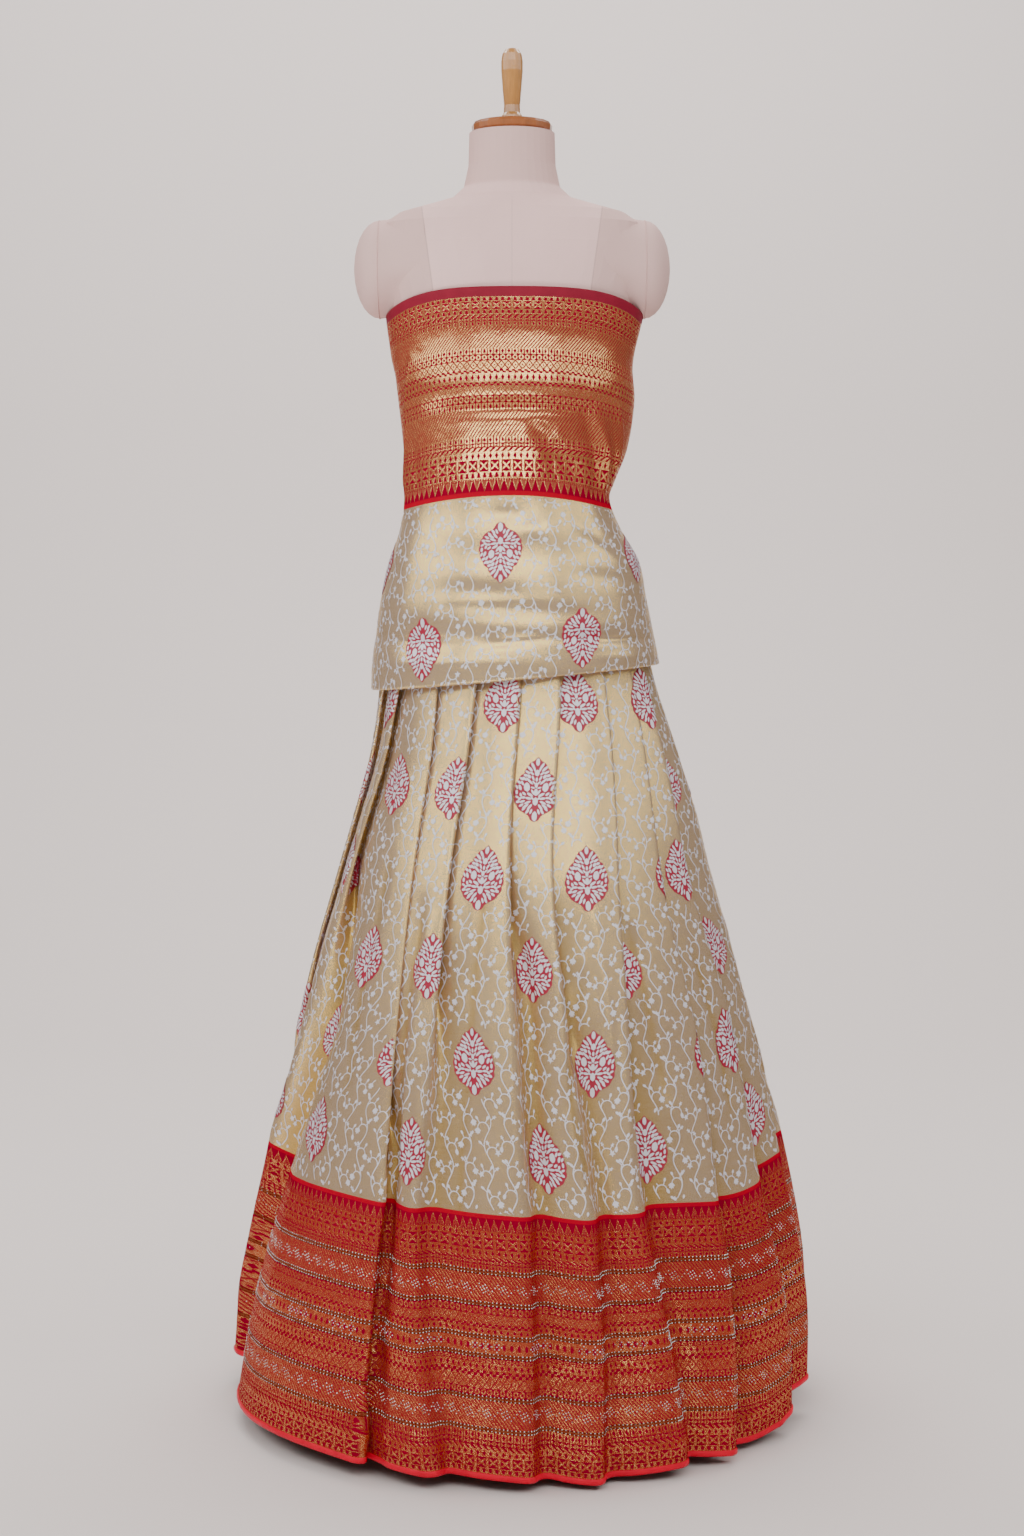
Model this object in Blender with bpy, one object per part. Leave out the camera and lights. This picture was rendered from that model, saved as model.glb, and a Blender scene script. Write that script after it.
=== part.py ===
"""A lehenga cloth, pleated into a skirt with its rest wrapped over hips and bust, on a dress form.

Metres, +Z up, the front faces -Y and +X is the viewer's right. The origin is the middle of the
base plate's underside, on the floor. Angles round the body run from the front centre (0) to the
viewer's right (+90) and the back (180).
"""

import math

import bpy
import numpy as np

# Cloth
SKIRT_WALL = 0.0010
WRAP_WALL = 0.0012
PIPING_WALL = 0.0030
SEAM_GAP = 0.0003

# Heights of the skirt
WAIST = 1.045
BORDER_TOP = 0.275
PIPING_HEIGHT = 0.006
HEM = 0.010

# Heights of the wrapped end of the cloth
WRAP_TOP = 1.293
UNDERARM_DIP = 0.022
SELVAGE_HEIGHT = 0.012
WRAP_LINE = 1.055
WRAP_LINE_DIP = 0.014
WRAP_BOTTOM = 0.845
WRAP_TILT = 0.015
ROLL_RADIUS = 0.0026
ROLL_TURN_UP = 0.030
WRAP_LAP_DEG = 8.0
WRAP_LAP_RISE = 0.0036
ROLL_LAP_RISE = 0.0050  # more over the bottom fold, which is several layers thick
ROLL_LAP_BELOW = 0.93
ROLL_LAP_TAKES = 0.06
LAP_FROM_DEG = 150.0
LAP_TAKES_DEG = 18.0
WRAP_STEP_DEG = 9.0
BODICE_STEPS = 5
HIP_STEPS = 6

# The pleated skirt's outline at its fold edges: height, reach to each side
Z, LEFT, RIGHT, FRONT, BACK = range(5)
SKIRT_OUTLINE = (
    (1.045, 0.112, 0.112, 0.092, 0.092),
    (0.960, 0.138, 0.144, 0.116, 0.117),
    (0.845, 0.155, 0.167, 0.132, 0.136),
    (0.752, 0.168, 0.197, 0.155, 0.160),
    (0.681, 0.186, 0.218, 0.176, 0.181),
    (0.610, 0.205, 0.234, 0.198, 0.203),
    (0.486, 0.238, 0.268, 0.231, 0.238),
    (0.309, 0.277, 0.312, 0.275, 0.284),
    (0.168, 0.311, 0.342, 0.309, 0.316),
    (0.097, 0.325, 0.350, 0.323, 0.329),
    (0.000, 0.338, 0.348, 0.338, 0.340),
)

# The folds seen from the front, from the viewer's left to right: the fold edge's angle at five
# heights, the height where the pleat opens, and at the hem the tuck (mm under the fold edge, or
# past it if less than 0), the depth of the valley (mm) and how early the panel after it rises
FOLD_HEIGHTS = (0.84, 0.66, 0.45, 0.27, 0.01)
OPENS, TUCK, DEPTH, RISE = range(len(FOLD_HEIGHTS), len(FOLD_HEIGHTS) + 4)
FRONT_FOLDS = (
    (-57.0, -66.0, -72.0, -86.0, -96.0, 0.60, -32.0, 44.0, 1.8),
    (-33.0, -34.0, -31.0, -29.0, -28.5, 0.50, 9.0, 21.0, 1.1),
    (-15.0, -20.0, -20.5, -21.0, -14.0, 0.54, -9.0, 17.0, 1.0),
    (3.5, -0.5, 1.5, 3.5, 4.3, 0.67, -8.0, 19.0, 1.0),
    (19.6, 12.0, 13.5, 16.5, 16.5, 0.58, -8.0, 18.0, 1.1),
    (40.0, 32.5, 28.0, 27.0, 33.0, 0.46, -9.0, 22.0, 1.0),
    (57.0, 48.0, 48.5, 46.0, 45.0, 0.36, 6.0, 28.0, 1.0),
    (70.0, 61.0, 64.0, 62.0, 66.0, 0.42, 5.0, 30.0, 1.1),
)
HIDDEN_FOLDS = 12
HIDDEN_SHIFT = 2.2
HIDDEN_OPENS = (0.50, 0.06)
HIDDEN_TUCK = (-4.0, 9.0)
HIDDEN_DEPTH = (34.0, 8.0)

# How far the cloth is pulled up off its level low down, by angle, from the back round the
# viewer's right, the front and the left to the back again
RAISED = 1
LIFT = (
    (180.0, 0.006),
    (130.0, 0.018),
    (95.0, 0.032),
    (74.0, 0.028),
    (54.0, 0.001),
    (33.0, 0.003),
    (15.0, -0.003),
    (2.0, 0.003),
    (-20.0, 0.007),
    (-45.0, 0.013),
    (-78.0, 0.012),
    (-90.0, 0.025),
    (-120.0, 0.020),
    (-180.0, 0.006),
)
LIFT_FROM = 0.85
LIFT_TAKES = 0.60

# The points of a panel between its start and the next fold, as shares of its rise
PANEL_SHARES = (0.30, 0.55, 0.80)
PANEL_FALL = 1.3

# The points of a fold after its shoulder: share of the tuck, share of the valley's depth
FOLD_TURN = ((0.0, 0.18), (0.35, 0.42), (1.0, 0.84))

# A pressed pleat's tuck as a share of its panel, and the depth of its three layers
PLEAT_TUCK = 0.50
LAYERS_AT_WAIST = 0.008
LAYERS_AT_HIP = 0.014
LAYERS_OPENING = 0.018
HIP_LAYERS_BELOW_WAIST = 0.12
OPENING_LAYERS_SPEED = 3.0
OPENING_STARTS = 0.07
OPENING_TAKES = 0.26

# How far a fold bends before its edge: pressed, and as a share of an open wave's depth
PRESSED_BEND = 0.003
OPEN_BEND = 0.26

# Heights of the skirt's rings
FIELD_LEVELS = (1.045, 0.96, 0.87, 0.80, 0.72, 0.64, 0.56, 0.47, 0.37)
BORDER_LEVELS = (0.19, 0.10)

# The wrapped cloth's outer form, with the same columns as the skirt's outline
WRAP_OUTLINE = (
    (1.293, 0.151, 0.161, 0.108, 0.110),
    (1.250, 0.1475, 0.151, 0.113, 0.108),
    (1.210, 0.142, 0.143, 0.118, 0.105),
    (1.170, 0.137, 0.1445, 0.118, 0.103),
    (1.114, 0.131, 0.136, 0.108, 0.097),
    (1.075, 0.130, 0.121, 0.099, 0.095),
    (1.055, 0.128, 0.115, 0.098, 0.095),
    (1.020, 0.132, 0.128, 0.105, 0.102),
    (0.980, 0.145, 0.150, 0.121, 0.122),
    (0.940, 0.154, 0.158, 0.130, 0.132),
    (0.900, 0.160, 0.166, 0.136, 0.140),
    (0.860, 0.165, 0.174, 0.141, 0.145),
    (0.830, 0.166, 0.178, 0.144, 0.148),
)

# Soft folds of the wrapped cloth: from angle and height, to angle and height, half width, rise.
# Their length is measured with one radian of the hips as FOLD_REACH metres.
FOLD_REACH = 0.13
WRAP_FOLDS = (
    (33.0, 1.165, 62.0, 1.070, 0.010, 0.0035),
    (50.0, 1.160, 74.0, 1.095, 0.009, 0.0030),
    (22.0, 1.135, 40.0, 1.085, 0.009, 0.0020),
    (-72.0, 0.905, 20.0, 0.888, 0.013, -0.0030),
    (-40.0, 0.948, 12.0, 0.940, 0.012, -0.0025),
    (14.0, 0.897, 78.0, 0.893, 0.007, -0.0035),
)

# The form: height, half width, reach to the front and back, and how square its section is
TORSO = (
    (0.800, 0.108, 0.084, 0.088, 2.0),
    (0.812, 0.124, 0.100, 0.104, 2.0),
    (0.860, 0.1345, 0.1110, 0.1145, 2.0),
    (0.960, 0.123, 0.101, 0.102, 2.0),
    (1.045, 0.1028, 0.0828, 0.0828, 2.0),
    (1.070, 0.1035, 0.0845, 0.0840, 2.0),
    (1.114, 0.119, 0.099, 0.090, 2.0),
    (1.170, 0.1342, 0.1150, 0.098, 2.0),
    (1.210, 0.1370, 0.1135, 0.099, 2.0),
    (1.262, 0.1425, 0.1035, 0.099, 2.0),
    (1.310, 0.1520, 0.094, 0.097, 2.2),
    (1.350, 0.1560, 0.085, 0.095, 2.5),
    (1.377, 0.1530, 0.074, 0.085, 2.5),
    (1.391, 0.133, 0.067, 0.077, 2.4),
    (1.401, 0.098, 0.060, 0.068, 2.2),
    (1.409, 0.071, 0.055, 0.060, 2.0),
    (1.422, 0.057, 0.052, 0.055, 2.0),
    (1.448, 0.0515, 0.050, 0.052, 2.0),
    (1.486, 0.0505, 0.050, 0.050, 2.0),
)
TORSO_SIDES = 36

CAP_X = 0.1563
CAP_RADII = (0.030, 0.056, 0.0575)
CAP_Z = 1.3255
CAP_RINGS = 5
CAP_SIDES = 20

# Turned pieces: radius and height from the piece's own foot
NECK_CAP_Z = 1.4863
NECK_CAP = ((0.0450, 0.0), (0.0472, 0.0030), (0.0475, 0.0085), (0.0455, 0.0120), (0.0380, 0.0137))
HANDLE_Z = 1.5003
HANDLE = (
    (0.0120, 0.0),
    (0.0128, 0.0030),
    (0.0122, 0.0070),
    (0.0098, 0.0105),
    (0.0095, 0.0190),
    (0.0112, 0.0380),
    (0.0129, 0.0600),
    (0.0130, 0.0710),
    (0.0115, 0.0800),
    (0.0075, 0.0855),
    (0.0030, 0.0870),
)
POLE_RADIUS = 0.0125
BASE = ((0.170, 0.0), (0.172, 0.003), (0.172, 0.009), (0.168, 0.0125), (0.030, 0.014))
TURNED_SIDES = 20

COLOURS = {
    "brocade": ((0.56, 0.49, 0.33, 1.0), 0.42, 0.15),
    "border_brocade": ((0.42, 0.07, 0.04, 1.0), 0.42, 0.15),
    "satin_red": ((0.52, 0.01, 0.04, 1.0), 0.35, 0.0),
    "selvage_maroon": ((0.22, 0.02, 0.04, 1.0), 0.6, 0.0),
    "form_jersey": ((0.58, 0.49, 0.46, 1.0), 0.9, 0.0),
    "varnished_wood": ((0.36, 0.15, 0.05, 1.0), 0.35, 0.0),
    "painted_metal": ((0.62, 0.60, 0.58, 1.0), 0.45, 0.0),
}


def smooth(t):
    """0 below t = 0 and 1 above t = 1, with a soft start and end."""
    t = min(max(t, 0.0), 1.0)
    return t * t * (3.0 - 2.0 * t)


def along(table, column, z):
    """A column of a table whose rows go from high to low, read smoothly at height z."""
    heights = [row[Z] for row in table]
    if z >= heights[0]:
        return table[0][column]
    if z <= heights[-1]:
        return table[-1][column]
    i = max(k for k in range(len(heights) - 1) if heights[k] >= z)
    below = min(i + 2, len(heights) - 1)
    above = max(i - 1, 0)
    z0, z1 = heights[i], heights[i + 1]
    v0, v1 = table[i][column], table[i + 1][column]
    span = z1 - z0
    slope0 = (v1 - table[above][column]) / (z1 - heights[above]) * span
    slope1 = (table[below][column] - v0) / (heights[below] - z0) * span
    t = (z - z0) / span
    return (
        (2 * t**3 - 3 * t**2 + 1) * v0
        + (t**3 - 2 * t**2 + t) * slope0
        + (3 * t**2 - 2 * t**3) * v1
        + (t**3 - t**2) * slope1
    )


def on_outline(table, z, degrees, inset=0.0, power=2.0):
    """The point of an outline at an angle, moved in by inset, and the outward direction there."""
    a = math.radians(degrees)
    s, c = math.sin(a), math.cos(a)
    wide = along(table, RIGHT if s > 0 else LEFT, z)
    deep = along(table, FRONT if c > 0 else BACK, z)
    x = wide * math.copysign(abs(s) ** (2.0 / power), s)
    y = -deep * math.copysign(abs(c) ** (2.0 / power), c)
    out = np.array((s / wide, -c / deep))
    out /= np.linalg.norm(out)
    return np.array((x, y)) - out * inset, out


def fold_rows():
    """Every fold of the skirt in order round it, those at the front as seen and the rest even."""
    rows = [list(row) for row in FRONT_FOLDS]
    first, last = FRONT_FOLDS[0], FRONT_FOLDS[-1]
    for i in range(1, HIDDEN_FOLDS + 1):
        share = i / (HIDDEN_FOLDS + 1)
        angles = []
        for level in range(len(FOLD_HEIGHTS)):
            even = last[level] + (first[level] + 360.0 - last[level]) * share
            angles.append(even + HIDDEN_SHIFT * math.sin(2.4 * i + 0.7 * level))
        opens = HIDDEN_OPENS[0] + HIDDEN_OPENS[1] * math.sin(2.4 * i)
        tuck = HIDDEN_TUCK[0] + HIDDEN_TUCK[1] * math.cos(1.9 * i)
        depth = HIDDEN_DEPTH[0] + HIDDEN_DEPTH[1] * math.sin(3.1 * i)
        rows.append([*angles, opens, tuck, depth, 1.0])
    return rows


FOLDS = fold_rows()


def fold_angle(row, z):
    """The angle of a fold edge at height z."""
    table = [(height, row[i]) for i, height in enumerate(FOLD_HEIGHTS)]
    return along(table, 1, z)


def degrees_per_metre(z, degrees):
    """How many degrees of the outline one metre of its edge takes, at an angle."""
    here, _ = on_outline(SKIRT_OUTLINE, z, degrees - 1.0)
    there, _ = on_outline(SKIRT_OUTLINE, z, degrees + 1.0)
    return 2.0 / np.linalg.norm(there - here)


def fold_state(index, z):
    """A fold at height z: its edge's angle, its valley's offset, depth, next rise and bend."""
    row = FOLDS[index]
    before = FOLDS[index - 1]
    edge = fold_angle(row, z)
    panel = (edge - fold_angle(before, z)) % 360.0
    opened = smooth((row[OPENS] + OPENING_STARTS - z) / OPENING_TAKES)
    scale = degrees_per_metre(z, edge)
    pressed = -PLEAT_TUCK * panel
    open_offset = -row[TUCK] / 1000.0 * scale
    offset = pressed + (open_offset - pressed) * opened
    hip_share = smooth((WAIST - z) / HIP_LAYERS_BELOW_WAIST)
    layers = LAYERS_AT_WAIST + (LAYERS_AT_HIP - LAYERS_AT_WAIST) * hip_share
    layers += (LAYERS_OPENING - LAYERS_AT_HIP) * smooth(opened * OPENING_LAYERS_SPEED)
    open_depth = row[DEPTH] / 1000.0
    depth = layers + (open_depth - layers) * opened
    rise = 1.0 + (row[RISE] - 1.0) * opened
    bend = (PRESSED_BEND + OPEN_BEND * open_depth * opened) * scale
    return edge, offset, depth, rise, bend


def fold_points(index, z):
    """A panel and the fold that ends it, as angles and depths below the outline."""
    last_edge, last_offset, last_depth, last_rise, last_bend = fold_state(index - 1, z)
    edge, offset, depth, _, bend = fold_state(index, z)
    if edge < last_edge:
        edge += 360.0
    start = last_edge + last_offset + last_bend
    shoulder = edge - bend
    points = [(start, last_depth)]
    for share in PANEL_SHARES:
        angle = start + (shoulder - start) * share**last_rise
        points.append((angle, last_depth * (1.0 - share) ** (PANEL_FALL * last_rise)))
    points.append((shoulder, 0.0))
    for tuck_share, depth_share in FOLD_TURN:
        points.append((edge + tuck_share * offset, depth_share * depth))
    return points


def lifted(z, degrees):
    """The height of a level of the skirt at an angle."""
    turned_in = (degrees + 180.0) % 360.0 - 180.0
    return z + along(LIFT, RAISED, turned_in) * smooth((LIFT_FROM - z) / LIFT_TAKES)


def skirt_ring(z):
    """The skirt's cloth at one level, as points round it."""
    ring = []
    for index in range(len(FOLDS)):
        for degrees, depth in fold_points(index, z):
            at, _ = on_outline(SKIRT_OUTLINE, z, degrees, depth)
            ring.append((at[0], at[1], lifted(z, degrees)))
    return ring


def wrap_folds(degrees, z):
    """How far the wrapped cloth's soft folds move it out at a point."""
    rise = 0.0
    for deg0, z0, deg1, z1, half_width, height in WRAP_FOLDS:
        ax, bx, px = (math.radians(d) * FOLD_REACH for d in (deg0, deg1, degrees))
        dx, dz = bx - ax, z1 - z0
        share = ((px - ax) * dx + (z - z0) * dz) / (dx * dx + dz * dz)
        held = min(max(share, 0.0), 1.0)
        away = math.hypot(px - ax - held * dx, z - z0 - held * dz)
        fade = math.sin(math.pi * min(max(share, 0.06), 0.94))
        rise += height * fade * math.exp(-((away / half_width) ** 2))
    return rise


def wrap_point(degrees, z, inset=0.0):
    """A point on the middle of the wrapped cloth, whose last end lies over its first."""
    lap = WRAP_LAP_RISE + ROLL_LAP_RISE * smooth((ROLL_LAP_BELOW - z) / ROLL_LAP_TAKES)
    lap *= smooth((degrees - LAP_FROM_DEG) / LAP_TAKES_DEG)
    depth = inset + WRAP_WALL / 2 - lap - wrap_folds(degrees, z)
    at, _ = on_outline(WRAP_OUTLINE, z, degrees, depth)
    return (at[0], at[1], z)


def wrap_angles():
    """The angles of the wrapped cloth's points, from its first end to its last."""
    half = 180.0 + WRAP_LAP_DEG
    count = round(2 * half / WRAP_STEP_DEG)
    return [-half + 2 * half * i / count for i in range(count + 1)]


def wrap_top(degrees):
    """The height of the wrap's top edge, which dips under the arms."""
    return WRAP_TOP - UNDERARM_DIP * math.sin(math.radians(degrees)) ** 4


def wrap_line(degrees):
    """The height of the red line where the border of the wrapped cloth meets its field."""
    return WRAP_LINE - WRAP_LINE_DIP * math.sin(math.radians(degrees)) ** 2


def wrap_bottom(degrees):
    """The height of the wrap's bottom fold, which hangs lower on the viewer's left."""
    return WRAP_BOTTOM + WRAP_TILT * math.sin(math.radians(degrees))


def between(low, high, steps):
    """A row of numbers from low to high."""
    return [low + (high - low) * i / steps for i in range(steps + 1)]


def selvage_rows():
    """The plain woven edge along the top of the wrap."""
    rows = []
    for drop in (0.0, SELVAGE_HEIGHT):
        rows.append([wrap_point(a, wrap_top(a) - drop) for a in wrap_angles()])
    return rows


def bodice_rows():
    """The red border of the wrapped cloth, from the selvage down to the red line."""
    rows = []
    for share in between(0.0, 1.0, BODICE_STEPS):
        row = []
        for a in wrap_angles():
            high = wrap_top(a) - SELVAGE_HEIGHT - SEAM_GAP
            low = wrap_line(a) + SEAM_GAP / 2
            row.append(wrap_point(a, high + (low - high) * share))
        rows.append(row)
    return rows


def hip_rows():
    """The field of the wrapped cloth over the hips, down to its fold and up again inside."""
    rows = []
    for share in between(0.0, 1.0, HIP_STEPS):
        row = []
        for a in wrap_angles():
            high = wrap_line(a) - SEAM_GAP / 2
            low = wrap_bottom(a) + ROLL_RADIUS
            row.append(wrap_point(a, high + (low - high) * share))
        rows.append(row)
    for turn in (45.0, 90.0, 135.0, 180.0):
        inset = ROLL_RADIUS * (1.0 - math.cos(math.radians(turn)))
        drop = ROLL_RADIUS * math.sin(math.radians(turn))
        row = []
        for a in wrap_angles():
            z = wrap_bottom(a) + ROLL_RADIUS
            x, y, _ = wrap_point(a, z, inset)
            row.append((x, y, z - drop))
        rows.append(row)
    turned = []
    for a in wrap_angles():
        z = wrap_bottom(a) + ROLL_RADIUS
        x, y, _ = wrap_point(a, z + ROLL_TURN_UP, 2 * ROLL_RADIUS)
        turned.append((x, y, z + ROLL_TURN_UP))
    rows.append(turned)
    return rows


def unit(vectors):
    """The same vectors at length 1."""
    return vectors / np.linalg.norm(vectors, axis=-1, keepdims=True)


def normals(points, closed, level_rows):
    """The outward direction at each point of a grid, kept horizontal over the first rows."""
    ahead = unit(np.roll(points, -1, axis=1) - points)
    behind = np.roll(ahead, 1, axis=1)
    if not closed:
        behind[:, 0] = ahead[:, 0]
        ahead[:, -1] = behind[:, -1]
    out = np.cross(np.gradient(points, axis=0), ahead + behind)
    out[:level_rows, :, 2] = 0.0
    return unit(out)


def wall(name, rows, thickness, colour, level_rows, closed=False):
    """A wall of cloth: a grid of points from top to bottom, given its thickness and rims."""
    points = np.array(rows)
    out = normals(points, closed, level_rows)
    high, wide = points.shape[:2]
    verts = np.concatenate([points + out * thickness / 2, points - out * thickness / 2])
    verts = verts.reshape(-1, 3)
    inner = high * wide

    def at(row, column, side=0):
        return row * wide + column % wide + side * inner

    faces = []
    for column in range(wide if closed else wide - 1):
        after = column + 1
        for row in range(high - 1):
            faces.append((at(row, column), at(row + 1, column), at(row + 1, after), at(row, after)))
            inside = (at(row, after, 1), at(row + 1, after, 1), at(row + 1, column, 1))
            faces.append((*inside, at(row, column, 1)))
        faces.append((at(0, column), at(0, after), at(0, after, 1), at(0, column, 1)))
        last = high - 1
        foot = (at(last, column, 1), at(last, after, 1), at(last, after), at(last, column))
        faces.append(foot)
    if not closed:
        for row in range(high - 1):
            faces.append((at(row, 0, 1), at(row + 1, 0, 1), at(row + 1, 0), at(row, 0)))
            end = wide - 1
            edge = (at(row, end), at(row + 1, end), at(row + 1, end, 1), at(row, end, 1))
            faces.append(edge)
    return solid(name, verts.tolist(), faces, colour)


def loft(name, rings, colour):
    """A closed solid through rings of points, from the lowest to the highest, with flat ends."""
    sides = len(rings[0])
    verts = [point for ring in rings for point in ring]
    faces = []
    for level in range(len(rings) - 1):
        for i in range(sides):
            low, high = level * sides, (level + 1) * sides
            j = (i + 1) % sides
            faces.append((low + i, low + j, high + j, high + i))
    faces.append(tuple(reversed(range(sides))))
    faces.append(tuple(range(len(verts) - sides, len(verts))))
    return solid(name, verts, faces, colour)


def solid(name, verts, faces, colour):
    """One named object from points and faces, with its material and smooth shading."""
    mesh = bpy.data.meshes.new(name)
    mesh.from_pydata(verts, [], faces)
    mesh.materials.append(material(colour))
    mesh.shade_smooth()
    mesh.set_sharp_from_angle(angle=math.radians(50))
    made = bpy.data.objects.new(name, mesh)
    bpy.context.scene.collection.objects.link(made)
    return made


def material(name):
    """The material of that name, made once."""
    if name in bpy.data.materials:
        return bpy.data.materials[name]
    colour, rough, metallic = COLOURS[name]
    made = bpy.data.materials.new(name)
    made.use_nodes = True
    shader = made.node_tree.nodes["Principled BSDF"]
    shader.inputs["Base Color"].default_value = colour
    shader.inputs["Roughness"].default_value = rough
    shader.inputs["Metallic"].default_value = metallic
    return made


def turned(name, profile, foot, colour):
    """A turned solid from radii and heights above its foot."""
    rings = []
    for radius, height in profile:
        ring = []
        for i in range(TURNED_SIDES):
            a = 2 * math.pi * i / TURNED_SIDES
            ring.append((radius * math.cos(a), radius * math.sin(a), foot + height))
        rings.append(ring)
    return loft(name, rings, colour)


def make_torso():
    """The smooth limbless torso with its neck."""
    rings = []
    for z, half, front, back, power in TORSO:
        ring = []
        for i in range(TORSO_SIDES):
            table = ((z, half, half, front, back),)
            at, _ = on_outline(table, z, 360.0 * i / TORSO_SIDES, power=power)
            ring.append((at[0], at[1], z))
        rings.append(ring)
    loft("form_torso", rings, "form_jersey")


def make_shoulder_cap(name, side):
    """A rounded cover over one armhole: half an ellipsoid with its flat face to the torso."""
    rx, ry, rz = CAP_RADII
    rings = []
    for level in range(CAP_RINGS):
        lean = math.radians(84.0 * level / (CAP_RINGS - 1))
        ring = []
        for i in range(CAP_SIDES):
            a = 2 * math.pi * i / CAP_SIDES * side
            y = ry * math.cos(lean) * math.cos(a)
            z = CAP_Z + rz * math.cos(lean) * math.sin(a)
            ring.append((side * (CAP_X + rx * math.sin(lean)), y, z))
        rings.append(ring)
    loft(name, rings, "form_jersey")


def make_skirt():
    """The pleated cloth in its woven parts: field, border and the piped hem."""
    field = [skirt_ring(z) for z in (*FIELD_LEVELS, BORDER_TOP + SEAM_GAP / 2)]
    wall("skirt_field", field, SKIRT_WALL, "brocade", len(field), closed=True)
    foot = HEM + PIPING_HEIGHT
    levels = (BORDER_TOP - SEAM_GAP / 2, *BORDER_LEVELS, foot + SEAM_GAP)
    border = [skirt_ring(z) for z in levels]
    wall("skirt_border", border, SKIRT_WALL, "border_brocade", len(border), closed=True)
    piping = [skirt_ring(z) for z in (foot - SEAM_GAP, HEM)]
    wall("hem_piping", piping, PIPING_WALL, "satin_red", len(piping), closed=True)


def make_wrap():
    """The rest of the same cloth, turned upside down and wrapped from bust to hips."""
    wall("wrap_selvage", selvage_rows(), WRAP_WALL, "selvage_maroon", 2)
    wall("wrap_border", bodice_rows(), WRAP_WALL, "border_brocade", BODICE_STEPS + 1)
    wall("wrap_field", hip_rows(), WRAP_WALL, "brocade", HIP_STEPS + 1)


def make_stand():
    """The form's wooden neck cap and handle, and the pole and plate that it stands on."""
    turned("neck_cap", NECK_CAP, NECK_CAP_Z, "varnished_wood")
    turned("handle", HANDLE, HANDLE_Z, "varnished_wood")
    foot = BASE[-1][1] + SEAM_GAP
    pole = ((POLE_RADIUS, 0.0), (POLE_RADIUS, TORSO[0][0] - SEAM_GAP - foot))
    turned("pole", pole, foot, "painted_metal")
    turned("base_plate", BASE, 0.0, "painted_metal")


def main():
    """Clear the scene and build every piece."""
    for old in list(bpy.data.objects):
        bpy.data.objects.remove(old)
    make_skirt()
    make_wrap()
    make_torso()
    make_shoulder_cap("shoulder_cap_left", -1)
    make_shoulder_cap("shoulder_cap_right", 1)
    make_stand()


main()
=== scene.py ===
"""Looks of a lehenga cloth on a dress form.

One long brocade cloth is knife-pleated into a skirt, and its other end is turned upside down and
wrapped round hips and bust. Metres, +Z up, the front faces -Y, +X is the viewer's right. Angles
round the body run from the front centre (0) to the viewer's right (+90) and the back (180). On
the cloth, u runs across it and v up it from the hem.
"""

import math
import random

import bpy
import numpy as np
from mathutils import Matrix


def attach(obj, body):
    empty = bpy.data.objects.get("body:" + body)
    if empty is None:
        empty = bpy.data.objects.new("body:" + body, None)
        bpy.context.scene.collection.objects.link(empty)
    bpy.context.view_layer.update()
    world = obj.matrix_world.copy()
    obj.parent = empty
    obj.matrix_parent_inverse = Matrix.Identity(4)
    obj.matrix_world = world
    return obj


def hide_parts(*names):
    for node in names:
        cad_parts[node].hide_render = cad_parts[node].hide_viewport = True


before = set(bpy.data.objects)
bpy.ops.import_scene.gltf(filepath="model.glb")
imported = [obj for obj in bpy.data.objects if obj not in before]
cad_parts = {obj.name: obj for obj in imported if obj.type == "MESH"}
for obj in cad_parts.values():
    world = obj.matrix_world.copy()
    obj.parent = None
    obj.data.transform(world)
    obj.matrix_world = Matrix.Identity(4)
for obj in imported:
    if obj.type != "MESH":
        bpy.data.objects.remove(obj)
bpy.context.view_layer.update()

# Heights of the skirt, as its solids have them
WAIST = 1.045
BORDER_TOP = 0.275
PIPING_HEIGHT = 0.006
HEM = 0.010
FOOT = HEM + PIPING_HEIGHT

# Heights and folds of the wrapped end of the cloth
WRAP_TOP = 1.293
UNDERARM_DIP = 0.022
SELVAGE_HEIGHT = 0.012
WRAP_LINE = 1.055
WRAP_LINE_DIP = 0.014
WRAP_BOTTOM = 0.845
WRAP_TILT = 0.015
ROLL_RADIUS = 0.0026
ROLL_TURN_UP = 0.030
WRAP_LAP_DEG = 8.0
WRAP_LAP_RISE = 0.0036
ROLL_LAP_RISE = 0.0050
ROLL_LAP_FROM = 0.93
ROLL_LAP_TAKES = 0.06
LAP_FROM_DEG = 150.0
LAP_TAKES_DEG = 18.0

# The pleated skirt's outline at its fold edges: height, reach left, right, front and back
SKIRT_OUTLINE = (
    (1.045, 0.112, 0.112, 0.092, 0.092),
    (0.960, 0.138, 0.144, 0.116, 0.117),
    (0.845, 0.155, 0.167, 0.132, 0.136),
    (0.752, 0.168, 0.197, 0.155, 0.160),
    (0.681, 0.186, 0.218, 0.176, 0.181),
    (0.610, 0.205, 0.234, 0.198, 0.203),
    (0.486, 0.238, 0.268, 0.231, 0.238),
    (0.309, 0.277, 0.312, 0.275, 0.284),
    (0.168, 0.311, 0.342, 0.309, 0.316),
    (0.097, 0.325, 0.350, 0.323, 0.329),
    (0.000, 0.338, 0.348, 0.338, 0.340),
)

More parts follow.
